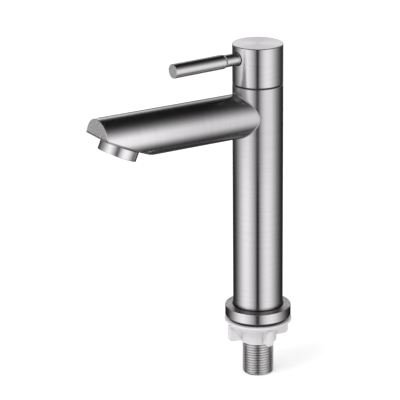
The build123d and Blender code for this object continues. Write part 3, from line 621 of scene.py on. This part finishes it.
# %% Winged nut
def slab(outline, thickness, soft_edge, outwards, steps=6, hold=0.1):
    """A flat slab with a quarter round along every edge. For the angle a, the outline moves in
    by edge (1 - cos a) along its own normal, at a height of thickness / 2 - edge + edge sin a.
    A held row further in keeps the flat side flat."""
    ahead = np.roll(outline, -1, axis=0) - np.roll(outline, 1, axis=0)
    inwards = np.stack([-ahead[:, 1], ahead[:, 0]], axis=-1)
    inwards /= np.linalg.norm(inwards, axis=1, keepdims=True)
    a = np.linspace(0, np.pi / 2, steps + 1)
    inset = np.concatenate([soft_edge * (1 - np.cos(a)), [soft_edge + hold]])
    height = np.concatenate([thickness / 2 - soft_edge + soft_edge * np.sin(a), [thickness / 2]])
    inset, height = np.concatenate([inset[::-1], inset]), np.concatenate([-height[::-1], height])
    rows = outline + inset[:, None, None] * inwards
    pole = np.broadcast_to(outline.mean(axis=0), (1,) + outline.shape)
    rows = np.concatenate([pole, rows, pole])
    height = np.concatenate([height[:1], height, height[-1:]])[:, None]
    across = np.cross([0, 0, 1.0], outwards)
    points = (rows[..., :1] * outwards + rows[..., 1:] * np.array([0, 0, 1.0])
              + height[..., None] * across)
    return points, grid_faces(len(rows), len(outline), False, True)


WINGS = 4
WING_TURN = -8.6                    # degrees from plus X to the first wing
WING_THICKNESS, WING_EDGE = 3.8, 0.75
hub_outline = rounded([
    (THREAD_BORE, -16.3, 0.5), (12.5375, -16.3, 0.7), (12.5375, -3.9, 0.5),
    (20.8, -3.9, 0.5), (20.8, WASHER_FOOT, 0.4), (THREAD_BORE, WASHER_FOOT, 0.3),
])
nut_points, nut_faces = turned(hub_outline, segments=288)
nut_points = nut_points.reshape(-1, 3)
wing_corners = rounded([
    (11.2, -14.9, 0.3), (21.8, -14.9, 3.2), (21.8, -3.4, 0.5), (11.2, -3.4, 0.3),
], steps=12)
for wing in range(WINGS):
    angle = math.radians(WING_TURN + 360 / WINGS * wing)
    outwards = np.array([math.cos(angle), math.sin(angle), 0])
    wing_points, wing_faces = slab(wing_corners, WING_THICKNESS, WING_EDGE, outwards)
    wing_points = wing_points.reshape(-1, 3)
    if signed_volume(wing_points, wing_faces) * signed_volume(nut_points, nut_faces) < 0:
        wing_faces = wing_faces[:, ::-1]
    nut_faces = np.concatenate([nut_faces, wing_faces + len(nut_points)])
    nut_points = np.concatenate([nut_points, wing_points])
nut = shell("winged_nut", nut_points, nut_faces, "nut", "white_plastic", "back_nut")

# %% [markdown]
# ## Finishes as expressions
# A finish is a small sum written with nodes. Writing it node by node hides the sum, so a small
# class stands for one socket and answers to plus, minus, times and divide. A finish then reads
# like the formula in one's head, and the nodes appear by themselves.

# %% One class for the sums behind a finish
class Wire:
    """One socket in a node tree. A sum on it adds a Math node, and node() adds any other node."""

    def __init__(self, tree, socket=None):
        self.tree, self.socket = tree, socket

    def node(self, kind, settings=None, sockets=None, out=0):
        """Adds a node of one type: first its settings, then the values or links of its sockets."""
        made = self.tree.nodes.new(kind)
        for name, value in (settings or {}).items():
            setattr(made, name, value)
        for name, value in (sockets or {}).items():
            if isinstance(value, Wire):
                self.tree.links.new(value.socket, made.inputs[name])
            else:
                made.inputs[name].default_value = value
        return Wire(self.tree, made.outputs[out])

    def sum(self, operation, *values):
        """A Math node with this operation over the values, each a number or a wire."""
        return self.node("ShaderNodeMath", {"operation": operation}, dict(enumerate(values)))

    def __add__(self, other): return self.sum("ADD", self, other)
    def __radd__(self, other): return self.sum("ADD", other, self)
    def __sub__(self, other): return self.sum("SUBTRACT", self, other)
    def __rsub__(self, other): return self.sum("SUBTRACT", other, self)
    def __mul__(self, other): return self.sum("MULTIPLY", self, other)
    def __rmul__(self, other): return self.sum("MULTIPLY", other, self)
    def __truediv__(self, other): return self.sum("DIVIDE", self, other)
    def __rtruediv__(self, other): return self.sum("DIVIDE", other, self)
    def __pow__(self, other): return self.sum("POWER", self, other)
    def __rpow__(self, other): return self.sum("POWER", other, self)
    def abs(self): return self.sum("ABSOLUTE", self)

    def between(self, low, high):
        """0 at low and beyond it, 1 at high and beyond it, and a smooth step from one to the
        other. Low may be the larger number: the step then rises as the value falls."""
        sockets = {"Value": self, "From Min": low, "From Max": high}
        return self.node("ShaderNodeMapRange", {"interpolation_type": "SMOOTHSTEP"}, sockets)

    def bell(self, width):
        """A bell curve of this value: exp(-(value / width)^2 / 2)."""
        share = self / width
        return self.sum("EXPONENT", share * share * -0.5)


answers = [name.strip("_") for name, made in vars(Wire).items() if callable(made)]
print("a wire answers to:", ", ".join(answers))

# %% [markdown]
# ## Helpers that every finish uses
# Brushed lines and a moulding's skin belong to the piece, so their patterns are read from the
# piece's own coordinates, in metres, and stay on it when it turns. Stretching the coordinates
# before they reach the noise makes lines out of spots. Only what varies over the surface is
# linked to the shader: a number that is the same all over is written on its socket.

# %% Coordinates, noise, colours and bumps
def new_finish(name):
    """A bare material: its tree, its shader and its Object coordinates as a Wire."""
    finish = bpy.data.materials.new(name)
    finish.use_nodes = True
    tree = finish.node_tree
    shader = tree.nodes["Principled BSDF"]
    place = Wire(tree).node("ShaderNodeTexCoord", out="Object")
    return finish, tree, shader, place


def stretched(place, scale):
    """Object coordinates times a scale along each axis, in grains per metre."""
    return place.node("ShaderNodeVectorMath", {"operation": "MULTIPLY"}, {0: place, 1: scale})


def noise(vector, detail=2.0, roughness=0.5):
    """Noise from 0 to 1 with one grain per unit of the vector."""
    sockets = {"Vector": vector, "Scale": 1.0, "Detail": detail, "Roughness": roughness}
    return vector.node("ShaderNodeTexNoise", {}, sockets)


def feed(tree, shader, **links):
    """Links wires to the shader's sockets that may vary over a surface."""
    for socket, wire in links.items():
        tree.links.new(wire.socket, shader.inputs[socket.replace("_", " ")])


def tint(wire, dark, pale):
    """A colour between two colours, by a number that is held from 0 to 1."""
    sockets = {0: wire, 6: (*dark, 1), 7: (*pale, 1)}
    return wire.node("ShaderNodeMix", {"data_type": "RGBA"}, sockets, out=2)


def bump(height, strength, distance):
    """A Bump node over a height from 0 to 1 that is worth this distance in metres."""
    sockets = {"Height": height, "Strength": strength, "Distance": distance}
    return height.node("ShaderNodeBump", {}, sockets)


print("plain materials that come with the packed model:", len(bpy.data.materials))

# %% [markdown]
# ## Brushed steel
# A lathe leaves fine lines round and round a piece, on its wall and on its flat end alike. The
# distance along the axis plus the distance from the axis keeps growing across both, so noise
# that is fine in this distance and long in the other directions draws lines all the way round.
# The lines are a height too, which tilts the surface along the axis only. Lines finer than a
# pixel do the same to a whole reflection: they comb it out along the axis, and the shader's
# anisotropy stands for them.

# %% Brushed steel, turned round any axis
LINE_DEPTH = 0.04 * MM              # how deep the lines are
DARKEST_LINE = 0.83                 # shade of the darkest line, where the palest has 1
STEEL_CAST = (1.08, 1.075, 1.07)    # colour of the palest line over the tone, a touch warm


def about_axis(place, axis, centre):
    """Two parts across an axis, the distance from the axis, and the part along it."""
    split = place.node("ShaderNodeSeparateXYZ", {}, {0: place})
    part = {name: Wire(place.tree, split.socket.node.outputs[name]) for name in "XYZ"}
    first, second = (part[name] - centre.get(name, 0.0) for name in "XYZ" if name != axis)
    return first, second, (first * first + second * second) ** 0.5, part[axis]


def turned_lines(place, axis, centre, long, fine):
    """Coordinates for lines round an axis, in grains per metre: the two parts across the axis
    times long, and the part along it plus the distance from it, times fine."""
    first, second, distance, along = about_axis(place, axis, centre)
    sockets = {0: first * long, 1: second * long, 2: (along + distance) * fine}
    return place.node("ShaderNodeCombineXYZ", {}, sockets)


def brushed(name, axis="Z", centre=None, tone=0.72, rough=0.12, lines=0.07, fine=6500.0, edge=0.3,
            face=None, specks=0.0, groove=None, foot=None, tilt=0.0, comb=0.0, weld=None):
    """Steel with lines round an axis. The shade is 1 on the palest line and DARKEST_LINE on the
    darkest, and the roughness rises a little with it. Distances are in mm.
    edge: how much a wall still mirrors when seen along its surface. A low value draws the dark
    outlines. comb: how much more the lines spread a reflection along the axis than round it.
    face: (low, high, roughness) along the axis, between which a rougher turned end begins.
    specks: how strongly the fine turned end varies from spot to spot.
    groove: (low, high, share), distances from the axis between which a painted shade lifts from
    this share of the colour to all of it. foot: the same painted shade along the axis. tilt: how
    far the axis leans, about X.
    weld: (low, high, roughness), distances from the spout's axis over which the metal in front,
    dull where the weld was ground, gets its own finish back."""
    finish, tree, shader, place = new_finish(name)
    if tilt:
        place = place.node("ShaderNodeMapping", {}, {"Vector": place, "Rotation": (tilt, 0, 0)})
    centre = centre or {}
    hair = noise(turned_lines(place, axis, centre, 80.0, fine), 3.0, 0.6)
    band = noise(turned_lines(place, axis, centre, 25.0, fine * 0.16), 3.0, 0.6)
    cloud = noise(stretched(place, (60, 60, 60)), 2.0)
    grain = hair * 0.6 + band * 0.4
    shade = (grain - 0.5) * 2.0 + 0.5 + (cloud - 0.5) * 0.12
    roughness = rough + (grain - 0.5) * 0.1
    distance, level = about_axis(place, axis, centre)[2:]
    if face:
        end = level.between(face[0] * MM, face[1] * MM)
        roughness = roughness + end * (face[2] - rough)
        shade = shade + end * (noise(stretched(place, (900, 900, 900)), 2.0) - 0.5) * specks
    if weld:
        reach, depth = about_axis(place, "Y", {"Z": SPOUT_HEIGHT * MM})[2:]
        in_front = (0 - depth).between(0, 2 * MM)
        dull = (1 - reach.between(weld[0] * MM, weld[1] * MM)) * in_front
        roughness = roughness + dull * (weld[2] - rough)
    shade = DARKEST_LINE + (1 - DARKEST_LINE) * shade
    # groove and foot paint shade: the colour falls to its share where they begin
    for measure, painted_shade in ((distance, groove), (level, foot)):
        if painted_shade:
            low, high, share = painted_shade
            shade = shade * (share + (1 - share) * measure.between(low * MM, high * MM))
    feed(tree, shader,
         Base_Color=tint(shade, (0, 0, 0), tuple(tone * part for part in STEEL_CAST)),
         Roughness=roughness,
         Normal=bump(grain, lines, LINE_DEPTH))
    shader.inputs["Metallic"].default_value = 1.0
    shader.inputs["Specular Tint"].default_value = (edge, edge, edge, 1)
    shader.inputs["Anisotropic"].default_value = comb
    shader.inputs["Anisotropic Rotation"].default_value = 0.25    # a quarter turn: along the axis
    print(name, "has", len(tree.nodes), "nodes")
    return finish

# %% [markdown]
# ## The brushed pieces
# All of it is one steel, brushed in different ways. The column, the cap and the foot are brushed
# hardest, so their reflections are combed out furthest. The column is a little duller on the
# spout's side, as if the weld had been ground and blended there. The flat ends were turned or
# ground, so they look paler and rougher than the walls. The plug's collar, in the shadow between
# the column and the foot, is coloured near black as a painted shade, so it shows as one dark line.
# The column's lowest half millimetre gets the same painted shade. The flange's top is painted a
# little darker, and the spout is painted darker towards the column, both as painted shade. A
# photographer puts dark cards beside the camera, and steel seen along its surface mirrors them as
# a thin outline. Here a low edge value draws that outline.

# %% Steel for the foot, the column, the cap, the spout and the lever
# its foot paints a near-black shade onto the column's lowest half millimetre, where it meets the
# plug's collar
column_steel = brushed("Brushed steel, column", tone=0.77, rough=0.19, lines=0.22, edge=0.1,
                       comb=0.8, foot=(COLUMN_FOOT + 0.1, COLUMN_FOOT + 0.5, 0.15),
                       weld=(SPOUT_RADIUS + 1, SPOUT_RADIUS + 55, 0.3))
cap_steel = brushed("Brushed steel, cap", tone=0.76, rough=0.2, lines=0.2, edge=0.43, comb=0.6,
                    face=(CAP_TOP - 0.2, CAP_TOP - 0.1, 0.22))
# its foot paints the flange's top face a little darker than its wall, as painted shade
flange_steel = brushed("Brushed steel, flange", tone=0.78, rough=0.2, edge=0.0, comb=0.6,
                       face=(FLANGE_RIM - 0.2, FLANGE_RIM - 0.05, 0.34), specks=7.0,
                       foot=(FLANGE_RIM, FLANGE_RIM - 0.15, 0.8))
# the plug is coloured near black, a painted shade for the shadow in the step between the column and
# the foot
plug_painted_shade = brushed("Steel painted as shade, foot plug", tone=0.12, rough=0.3)
spout_axis = {"Z": SPOUT_HEIGHT * MM}
# its foot paints shade along the spout: darker towards the column, the full tone at the tip
spout_steel = brushed("Brushed steel, spout", "Y", spout_axis, tone=0.92, rough=0.18,
                      lines=0.008, edge=0.1, foot=(-45, -112, 0.76))
end_steel = brushed("Ground steel, end", "Y", spout_axis, tone=0.92, rough=0.24, lines=0.008,
                    edge=1.0, face=(-SPOUT_REACH + 0.05, -SPOUT_REACH + 0.01, 0.6), specks=11.0)
lever_steel = brushed("Brushed steel, lever", "Y", {"Z": LEVER_HEIGHT * MM}, tone=0.92,
                      rough=0.19, lines=0.015, edge=0.0,
                      face=(-LEVER_REACH + 0.7, -LEVER_REACH + 0.55, 0.5), specks=4.0)
bead_steel = brushed("Weld steel, saddle", tone=0.85, rough=0.35, edge=1.0)

# %% [markdown]
# ## Ground steel, and the small turned pieces
# The sole was levelled on a belt, so it has short lines in one direction and a speckle, and no
# rings. The aerator's collar was turned too, round its own axis, which leans as the sole does.
# The tail's thread is painted darker in its grooves, as shade.

# %% Steel for the sole, the aerator's collar, the tail and the inside
def ground(name, tone=0.7, rough=0.5):
    """Steel that a fine belt has levelled: short lines and a speckle shift the tone by a fifth."""
    finish, tree, shader, place = new_finish(name)
    line = noise(stretched(place, (500, 4000, 4000)), 3.0, 0.6)
    speck = noise(stretched(place, (1100, 1100, 1100)), 2.0, 0.6)
    grain = line * 0.3 + speck * 0.7
    feed(tree, shader,
         Base_Color=tint((grain - 0.5) * 3.5 + 0.5, (tone * 0.8,) * 3, (tone * 1.15,) * 3),
         Roughness=rough + (grain - 0.5) * 0.2,
         Normal=bump(grain, 0.2, LINE_DEPTH))
    shader.inputs["Metallic"].default_value = 1.0
    print(name, "has", len(tree.nodes), "nodes")
    return finish


sole_steel = ground("Ground steel, tip", tone=0.5, rough=0.5)
leaning = Matrix.Rotation(SOLE_SLOPE, 3, "X") @ Vector(AERATOR_CENTRE) * MM
collar_steel = brushed("Smooth steel, aerator", "Z", {"Y": leaning.y}, tone=0.92, rough=0.24,
                       lines=0.05, edge=0.0, tilt=SOLE_SLOPE)
# the groove paints shade into the thread's grooves
thread_steel = brushed("Turned steel, tail", tone=0.92, rough=0.2, lines=0.05, edge=0.0,
                       groove=(THREAD_RADIUS - 0.9, THREAD_RADIUS - 0.3, 0.8))
inner_steel = brushed("Turned steel, inside", tone=0.7, rough=0.2, lines=0.05, edge=1.0)

# %% [markdown]
# ## Plastics, rubber, brass and ceramic
# The washer and the nut are a white, slightly waxy plastic that lets a little light in. Their
# surface has the faint unevenness of a moulding. The rubber is matt and nearly black. Inside,
# the valve is turned brass with polished ceramic discs.

# %% Moulded and cast finishes
SKIN_DEPTH = 0.08 * MM                          # how deep a moulding's unevenness is
LIGHT_REACH = (2.2 * MM, 2.0 * MM, 1.8 * MM)    # how far red, green and blue spread inside


def moulded(name, colour, rough=0.45, glow=0.0, uneven=0.3):
    """A moulded plastic or rubber: faint clouds of colour, a fine skin and a soft unevenness.
    glow: the share of the light that goes into it and comes out beside."""
    finish, tree, shader, place = new_finish(name)
    cloud = noise(stretched(place, (180, 180, 180)), 3.0)
    skin = noise(stretched(place, (3000, 3000, 3000)), 2.0)
    dark = tuple(part * 0.93 for part in colour)
    feed(tree, shader,
         Base_Color=tint((cloud - 0.5) * 1.6 + 0.5, dark, colour),
         Roughness=rough + (skin - 0.5) * 0.2,
         Normal=bump(cloud * 0.7 + skin * 0.3, uneven, SKIN_DEPTH))
    if glow:
        shader.inputs["Subsurface Weight"].default_value = glow
        shader.inputs["Subsurface Radius"].default_value = LIGHT_REACH
        shader.inputs["Subsurface Scale"].default_value = 1.0
    print(name, "has", len(tree.nodes), "nodes")
    return finish


white_plastic = moulded("White moulded plastic", (0.88, 0.862, 0.875), 0.42, glow=0.25)
dark_plastic = moulded("Dark moulded plastic", (0.03, 0.03, 0.032), 0.5)
grey_plastic = moulded("Grey moulded plastic", (0.36, 0.37, 0.38), 0.4)
black_rubber = moulded("Black rubber", (0.018, 0.018, 0.019), 0.65)
ceramic = moulded("Polished ceramic", (0.85, 0.83, 0.78), 0.12, uneven=0.05)

brass, tree, shader, place = new_finish("Turned brass")
ring_lines = noise(turned_lines(place, "Z", {}, 60.0, 4000.0), 3.0)
feed(tree, shader,
     Base_Color=tint(ring_lines, (0.62, 0.42, 0.18), (0.86, 0.66, 0.34)),
     Roughness=0.2 + ring_lines * 0.2,
     Normal=bump(ring_lines, 0.2, LINE_DEPTH))
shader.inputs["Metallic"].default_value = 1.0
print(brass.name, "has", len(tree.nodes), "nodes")

# %% [markdown]
# ## Dressing the pieces
# A finish does nothing until a piece wears it. The new surfaces are listed one by one. The inner
# pieces keep the packed model's own shapes, which are right, so each of them only gets a finish
# in place of its plain colour.

# %% Each piece gets its finish
def wear(piece, finish):
    """Gives every material slot of a piece this finish."""
    if not piece.data.materials:
        piece.data.materials.append(finish)
    for number in range(len(piece.data.materials)):
        piece.data.materials[number] = finish


for piece, finish in [
    (base_flange, flange_steel), (base_collar, plug_painted_shade), (gasket, black_rubber),
    (washer, white_plastic), (column, column_steel), (seam_ring, dark_plastic),
    (cap, cap_steel), (lever, lever_steel), (plug_button, grey_plastic),
    (spout, spout_steel), (end_plate, end_steel), (sole, sole_steel), (collar, collar_steel),
    (bead, bead_steel), (tail, thread_steel), (nut, white_plastic),
]:
    wear(piece, finish)

INSIDE = {
    inner_steel: ["riser_tube", "handle_core", "grub_screw", "spindle_clip", "aerator_screen"],
    brass: ["valve_housing", "valve_body", "valve_spindle"],
    black_rubber: ["aerator_gasket", "riser_seals", "valve_o_ring", "seat_seal", "spindle_o_rings"],
    dark_plastic: ["spindle_washer"],
    grey_plastic: ["aerator_insert"],
    ceramic: ["fixed_disc", "moving_disc"],
}
for finish, names in INSIDE.items():
    for name in names:
        wear(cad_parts[name], finish)
print("finishes on inner pieces:", sum(len(names) for names in INSIDE.values()))

# %% [markdown]
# ## The camera
# The photograph was taken from the front and well round to the right, where plus X is, a little
# above the tap. The lens is a long one, so upright lines stay nearly parallel. The camera looks
# from 58 degrees round and 18 degrees up, a metre and a half away, and leans by half a degree.

# %% Camera
AZIMUTH, ELEVATION, ROLL = math.radians(57.778), math.radians(18.162), math.radians(-0.5283)
EYE_DISTANCE = 1.527896     # metres from a point on the column's axis
EYE_CENTRE = 0.1022         # the height of that point
AIM_HEIGHT = 0.083146       # the camera aims at a point of this height,
AIM_ASIDE = -0.038545       # this far across its view from the column's axis
FOCAL_LENGTH = 2302.228     # in pixels of a picture that is
PICTURE_WIDTH = 400         # this wide
SENSOR_WIDTH = 36.0         # mm

back = Vector((math.sin(AZIMUTH) * math.cos(ELEVATION), -math.cos(AZIMUTH) * math.cos(ELEVATION),
               math.sin(ELEVATION)))
eye = Vector((0, 0, EYE_CENTRE)) + back * EYE_DISTANCE
target = Vector((math.cos(AZIMUTH), math.sin(AZIMUTH), 0)) * AIM_ASIDE + Vector((0, 0, AIM_HEIGHT))
ahead = (target - eye).normalized()
right = ahead.cross(Vector((0, 0, 1))).normalized()
up = right.cross(ahead)
right_rolled = right * math.cos(ROLL) + up * math.sin(ROLL)
up_rolled = up * math.cos(ROLL) - right * math.sin(ROLL)
facing = Matrix((right_rolled, up_rolled, -ahead)).transposed()

lens = bpy.data.cameras.new("Camera")
lens.sensor_width = SENSOR_WIDTH
lens.lens = SENSOR_WIDTH * FOCAL_LENGTH / PICTURE_WIDTH
camera = bpy.data.objects.new("Camera", lens)
camera.matrix_world = Matrix.Translation(eye) @ facing.to_4x4()
bpy.context.scene.collection.objects.link(camera)
bpy.context.scene.camera = camera
print("camera distance:", round((eye - target).length, 3), "m")

# %% [markdown]
# ## The light
# Steel shows nothing but what is around it. A product photographer hangs white cloth round the
# tap and leaves gaps, and the column mirrors them as bright and dark bands. Here the cloth is a
# big ball that only reflections see. Its brightness can then be one formula of the direction,
# which is easier to match with a photograph than a ring of lamps is.

# %% The ball that the steel mirrors
TAP_MIDDLE = 0.08           # metres above the basin


def studio_ball(radius=4.0, rows=64, columns=128):
    """A sphere: (r sin p cos t, r sin p sin t, r cos p) about the middle of the tap."""
    p = np.linspace(0, np.pi, rows)[:, None]
    t = np.linspace(0, 2 * np.pi, columns, endpoint=False)[None, :]
    x, y, z = np.sin(p) * np.cos(t), np.sin(p) * np.sin(t), np.cos(p) + 0 * t
    points = radius * np.stack([x, y, z], axis=-1)
    points[..., 2] += TAP_MIDDLE
    faces = grid_faces(rows, columns, False, True)
    mesh = bpy.data.meshes.new("studio_ball")
    mesh.from_pydata(points.reshape(-1, 3).tolist(), [], faces.tolist())
    merge_doubles(mesh)
    return bpy.data.objects.new("studio_ball", mesh)


ball = studio_ball()
bpy.context.scene.collection.objects.link(ball)
for sight in ("visible_camera", "visible_diffuse", "visible_transmission",
              "visible_volume_scatter", "visible_shadow"):
    setattr(ball, sight, False)
print("studio ball has", len(ball.data.polygons), "faces")

# %% [markdown]
# ## The brightness of the cloth
# A direction is measured in degrees round from the camera, to the right, and in degrees above
# the horizon. Two wide bright panels stand beside the camera, the right one reaching higher, and
# a thin dark gap between them draws the dark line down the column. They fade far below the
# horizon. Behind the tap, a low bright panel and a fainter one under the horizon light the
# spout, the lever and the flat tops. There is a pale ceiling, and a small patch on the left for
# the aerator's collar. A photograph's white is never quite neutral, so the light is faintly pink.

# %% Panels, gap and ceiling
CLOTH_CAST = (1.008, 0.985, 1.015, 1)
GAP_MIDDLE, GAP_HALF_WIDTH, GAP_FADE = -2.5, 3.5, 11

cloth = bpy.data.materials.new("Studio cloth")
cloth.use_nodes = True
cloth.cycles.emission_sampling = "NONE"
tree = cloth.node_tree
tree.nodes.clear()
place = Wire(tree).node("ShaderNodeTexCoord", out="Object")
middle = place.node("ShaderNodeVectorMath", {"operation": "SUBTRACT"},
                    {0: place, 1: (0, 0, TAP_MIDDLE)})
direction = middle.node("ShaderNodeVectorMath", {"operation": "NORMALIZE"}, {0: middle})


def toward(vector):
    """How far the direction points along a vector: their dot product."""
    settings, sockets = {"operation": "DOT_PRODUCT"}, {0: direction, 1: vector}
    return direction.node("ShaderNodeVectorMath", settings, sockets, out="Value")


def panel(middle_turn, width, height, strength):
    """A soft panel that stands on the horizon: a bell curve round from its middle, times one
    upwards, times its strength."""
    return (turn - middle_turn).bell(width) * above.bell(height) * strength


front = Vector((back.x, back.y, 0)).normalized()
turn = place.sum("ARCTAN2", toward(right), toward(front)) * (180 / math.pi)
rise = place.sum("ARCSINE", toward((0, 0, 1))) * (180 / math.pi)
above, below = place.sum("MAXIMUM", rise, 0.0), place.sum("MINIMUM", rise, 0.0)
panels = panel(42, 34, 25.5, 1.04) + panel(-56, 30, 17, 1.08)
from_gap = place.sum("MAXIMUM", (turn - GAP_MIDDLE).abs() - GAP_HALF_WIDTH, 0.0)
gap = 1 - place.sum("EXPONENT", from_gap * (-1 / GAP_FADE))
low = place.sum("MINIMUM", rise + 18, 0.0).bell(22)
from_back = turn.abs() - 180
behind = from_back.bell(26) * (rise - 17).bell(9) * 1.75
behind = behind + from_back.bell(15) * below.bell(30) * rise.between(6, -6) * 0.9
ceiling = rise.between(78, 86) * 0.4
collar_light = (turn + 50).bell(16) * (rise - 18).bell(10) * 0.5
light = panels * gap * low + behind + ceiling + collar_light + 0.01
glow = place.node("ShaderNodeEmission", {}, {"Color": CLOTH_CAST, "Strength": light})
output = tree.nodes.new("ShaderNodeOutputMaterial")
tree.links.new(glow.socket, output.inputs["Surface"])
ball.data.materials.append(cloth)
print("studio cloth has", len(tree.nodes), "nodes")

# %% [markdown]
# ## The floor
# The floor is a wide pale disc at the foot of the tail. Real white paper would need far more
# light than the tap does to look white, so the paper has a little glow of its own, which only
# the camera sees: it lights nothing, and the tap's soft shadow stays on it. Reflections don't
# see the floor, so that the steel mirrors the cloth all round.

# %% Floor
PAPER_GLOW = 0.31


def floor_disc(radius=6.0, height=TAIL_FOOT * MM, segments=96):
    """A disc of points (r cos t, r sin t, height) in three rings, flat side up."""
    r = np.array([0.0, radius * 0.3, radius])[:, None]
    t = np.linspace(0, 2 * np.pi, segments, endpoint=False)[None, :]
    points = np.stack([r * np.cos(t), r * np.sin(t), np.full((3, segments), height)], axis=-1)
    faces = grid_faces(3, segments, False, True)[:, ::-1]
    mesh = bpy.data.meshes.new("floor")
    mesh.from_pydata(points.reshape(-1, 3).tolist(), [], faces.tolist())
    merge_doubles(mesh)
    return bpy.data.objects.new("floor", mesh)


floor = floor_disc()
bpy.context.scene.collection.objects.link(floor)
floor.visible_glossy = False
paper, tree, shader, place = new_finish("Pale paper")
tooth = noise(stretched(place, (900, 900, 900)), 2.0)
feed(tree, shader, Base_Color=tint(tooth, (0.925, 0.925, 0.925), (0.945, 0.945, 0.945)))
seen = place.node("ShaderNodeLightPath", out="Is Camera Ray")
feed(tree, shader, Emission_Color=seen * PAPER_GLOW)
shader.inputs["Emission Strength"].default_value = 1.0
shader.inputs["Roughness"].default_value = 0.9
shader.inputs["Specular IOR Level"].default_value = 0.0
floor.data.materials.append(paper)
print("floor at", TAIL_FOOT, "mm, with", len(floor.data.polygons), "faces")

# %% [markdown]
# ## Sky and lamp
# The sky is plain white to the camera, in reflections and through glass, and a little less to
# everything it lights, so that the white plastic doesn't burn out. One large soft lamp, from the
# camera's left and above, gives the white nut its shading and the floor its faint shadow. The
# steel doesn't mirror the lamp, because a real photographer hides it behind the cloth.

# %% Sky and lamp
SKY_LIGHT = 0.72
LAMP_POWER, LAMP_WIDTH = 24.0, 1.6
LAMP_BACK, LAMP_LEFT, LAMP_UP = 1.3, 1.3, 1.6

sky = bpy.data.worlds.new("Sky")
sky.use_nodes = True
tree = sky.node_tree
tree.nodes.clear()
rays = Wire(tree).node("ShaderNodeLightPath", out="Is Camera Ray")
kinds = rays.socket.node.outputs
seen = rays.sum("MAXIMUM", rays, Wire(tree, kinds["Is Glossy Ray"]))
seen = rays.sum("MAXIMUM", seen, Wire(tree, kinds["Is Transmission Ray"]))
strength = seen * (1 - SKY_LIGHT) + SKY_LIGHT
glow = rays.node("ShaderNodeBackground", {}, {"Color": (1, 1, 1, 1), "Strength": strength})
output = tree.nodes.new("ShaderNodeOutputWorld")
tree.links.new(glow.socket, output.inputs["Surface"])
bpy.context.scene.world = sky

lamp = bpy.data.lights.new("Soft lamp", "AREA")
lamp.shape = "DISK"
lamp.size = LAMP_WIDTH
lamp.energy = LAMP_POWER
soft_lamp = bpy.data.objects.new("Soft lamp", lamp)
lamp_place = back.normalized() * LAMP_BACK - right * LAMP_LEFT + Vector((0, 0, LAMP_UP))
lamp_aim = (lamp_place - Vector((0, 0, TAP_MIDDLE))).to_track_quat("Z", "Y")
soft_lamp.matrix_world = Matrix.Translation(lamp_place) @ lamp_aim.to_matrix().to_4x4()
soft_lamp.visible_glossy = False
bpy.context.scene.collection.objects.link(soft_lamp)
bpy.context.scene.view_settings.view_transform = "Standard"
print("lamp:", lamp.energy, "W over", lamp.size, "m")

# %% [markdown]
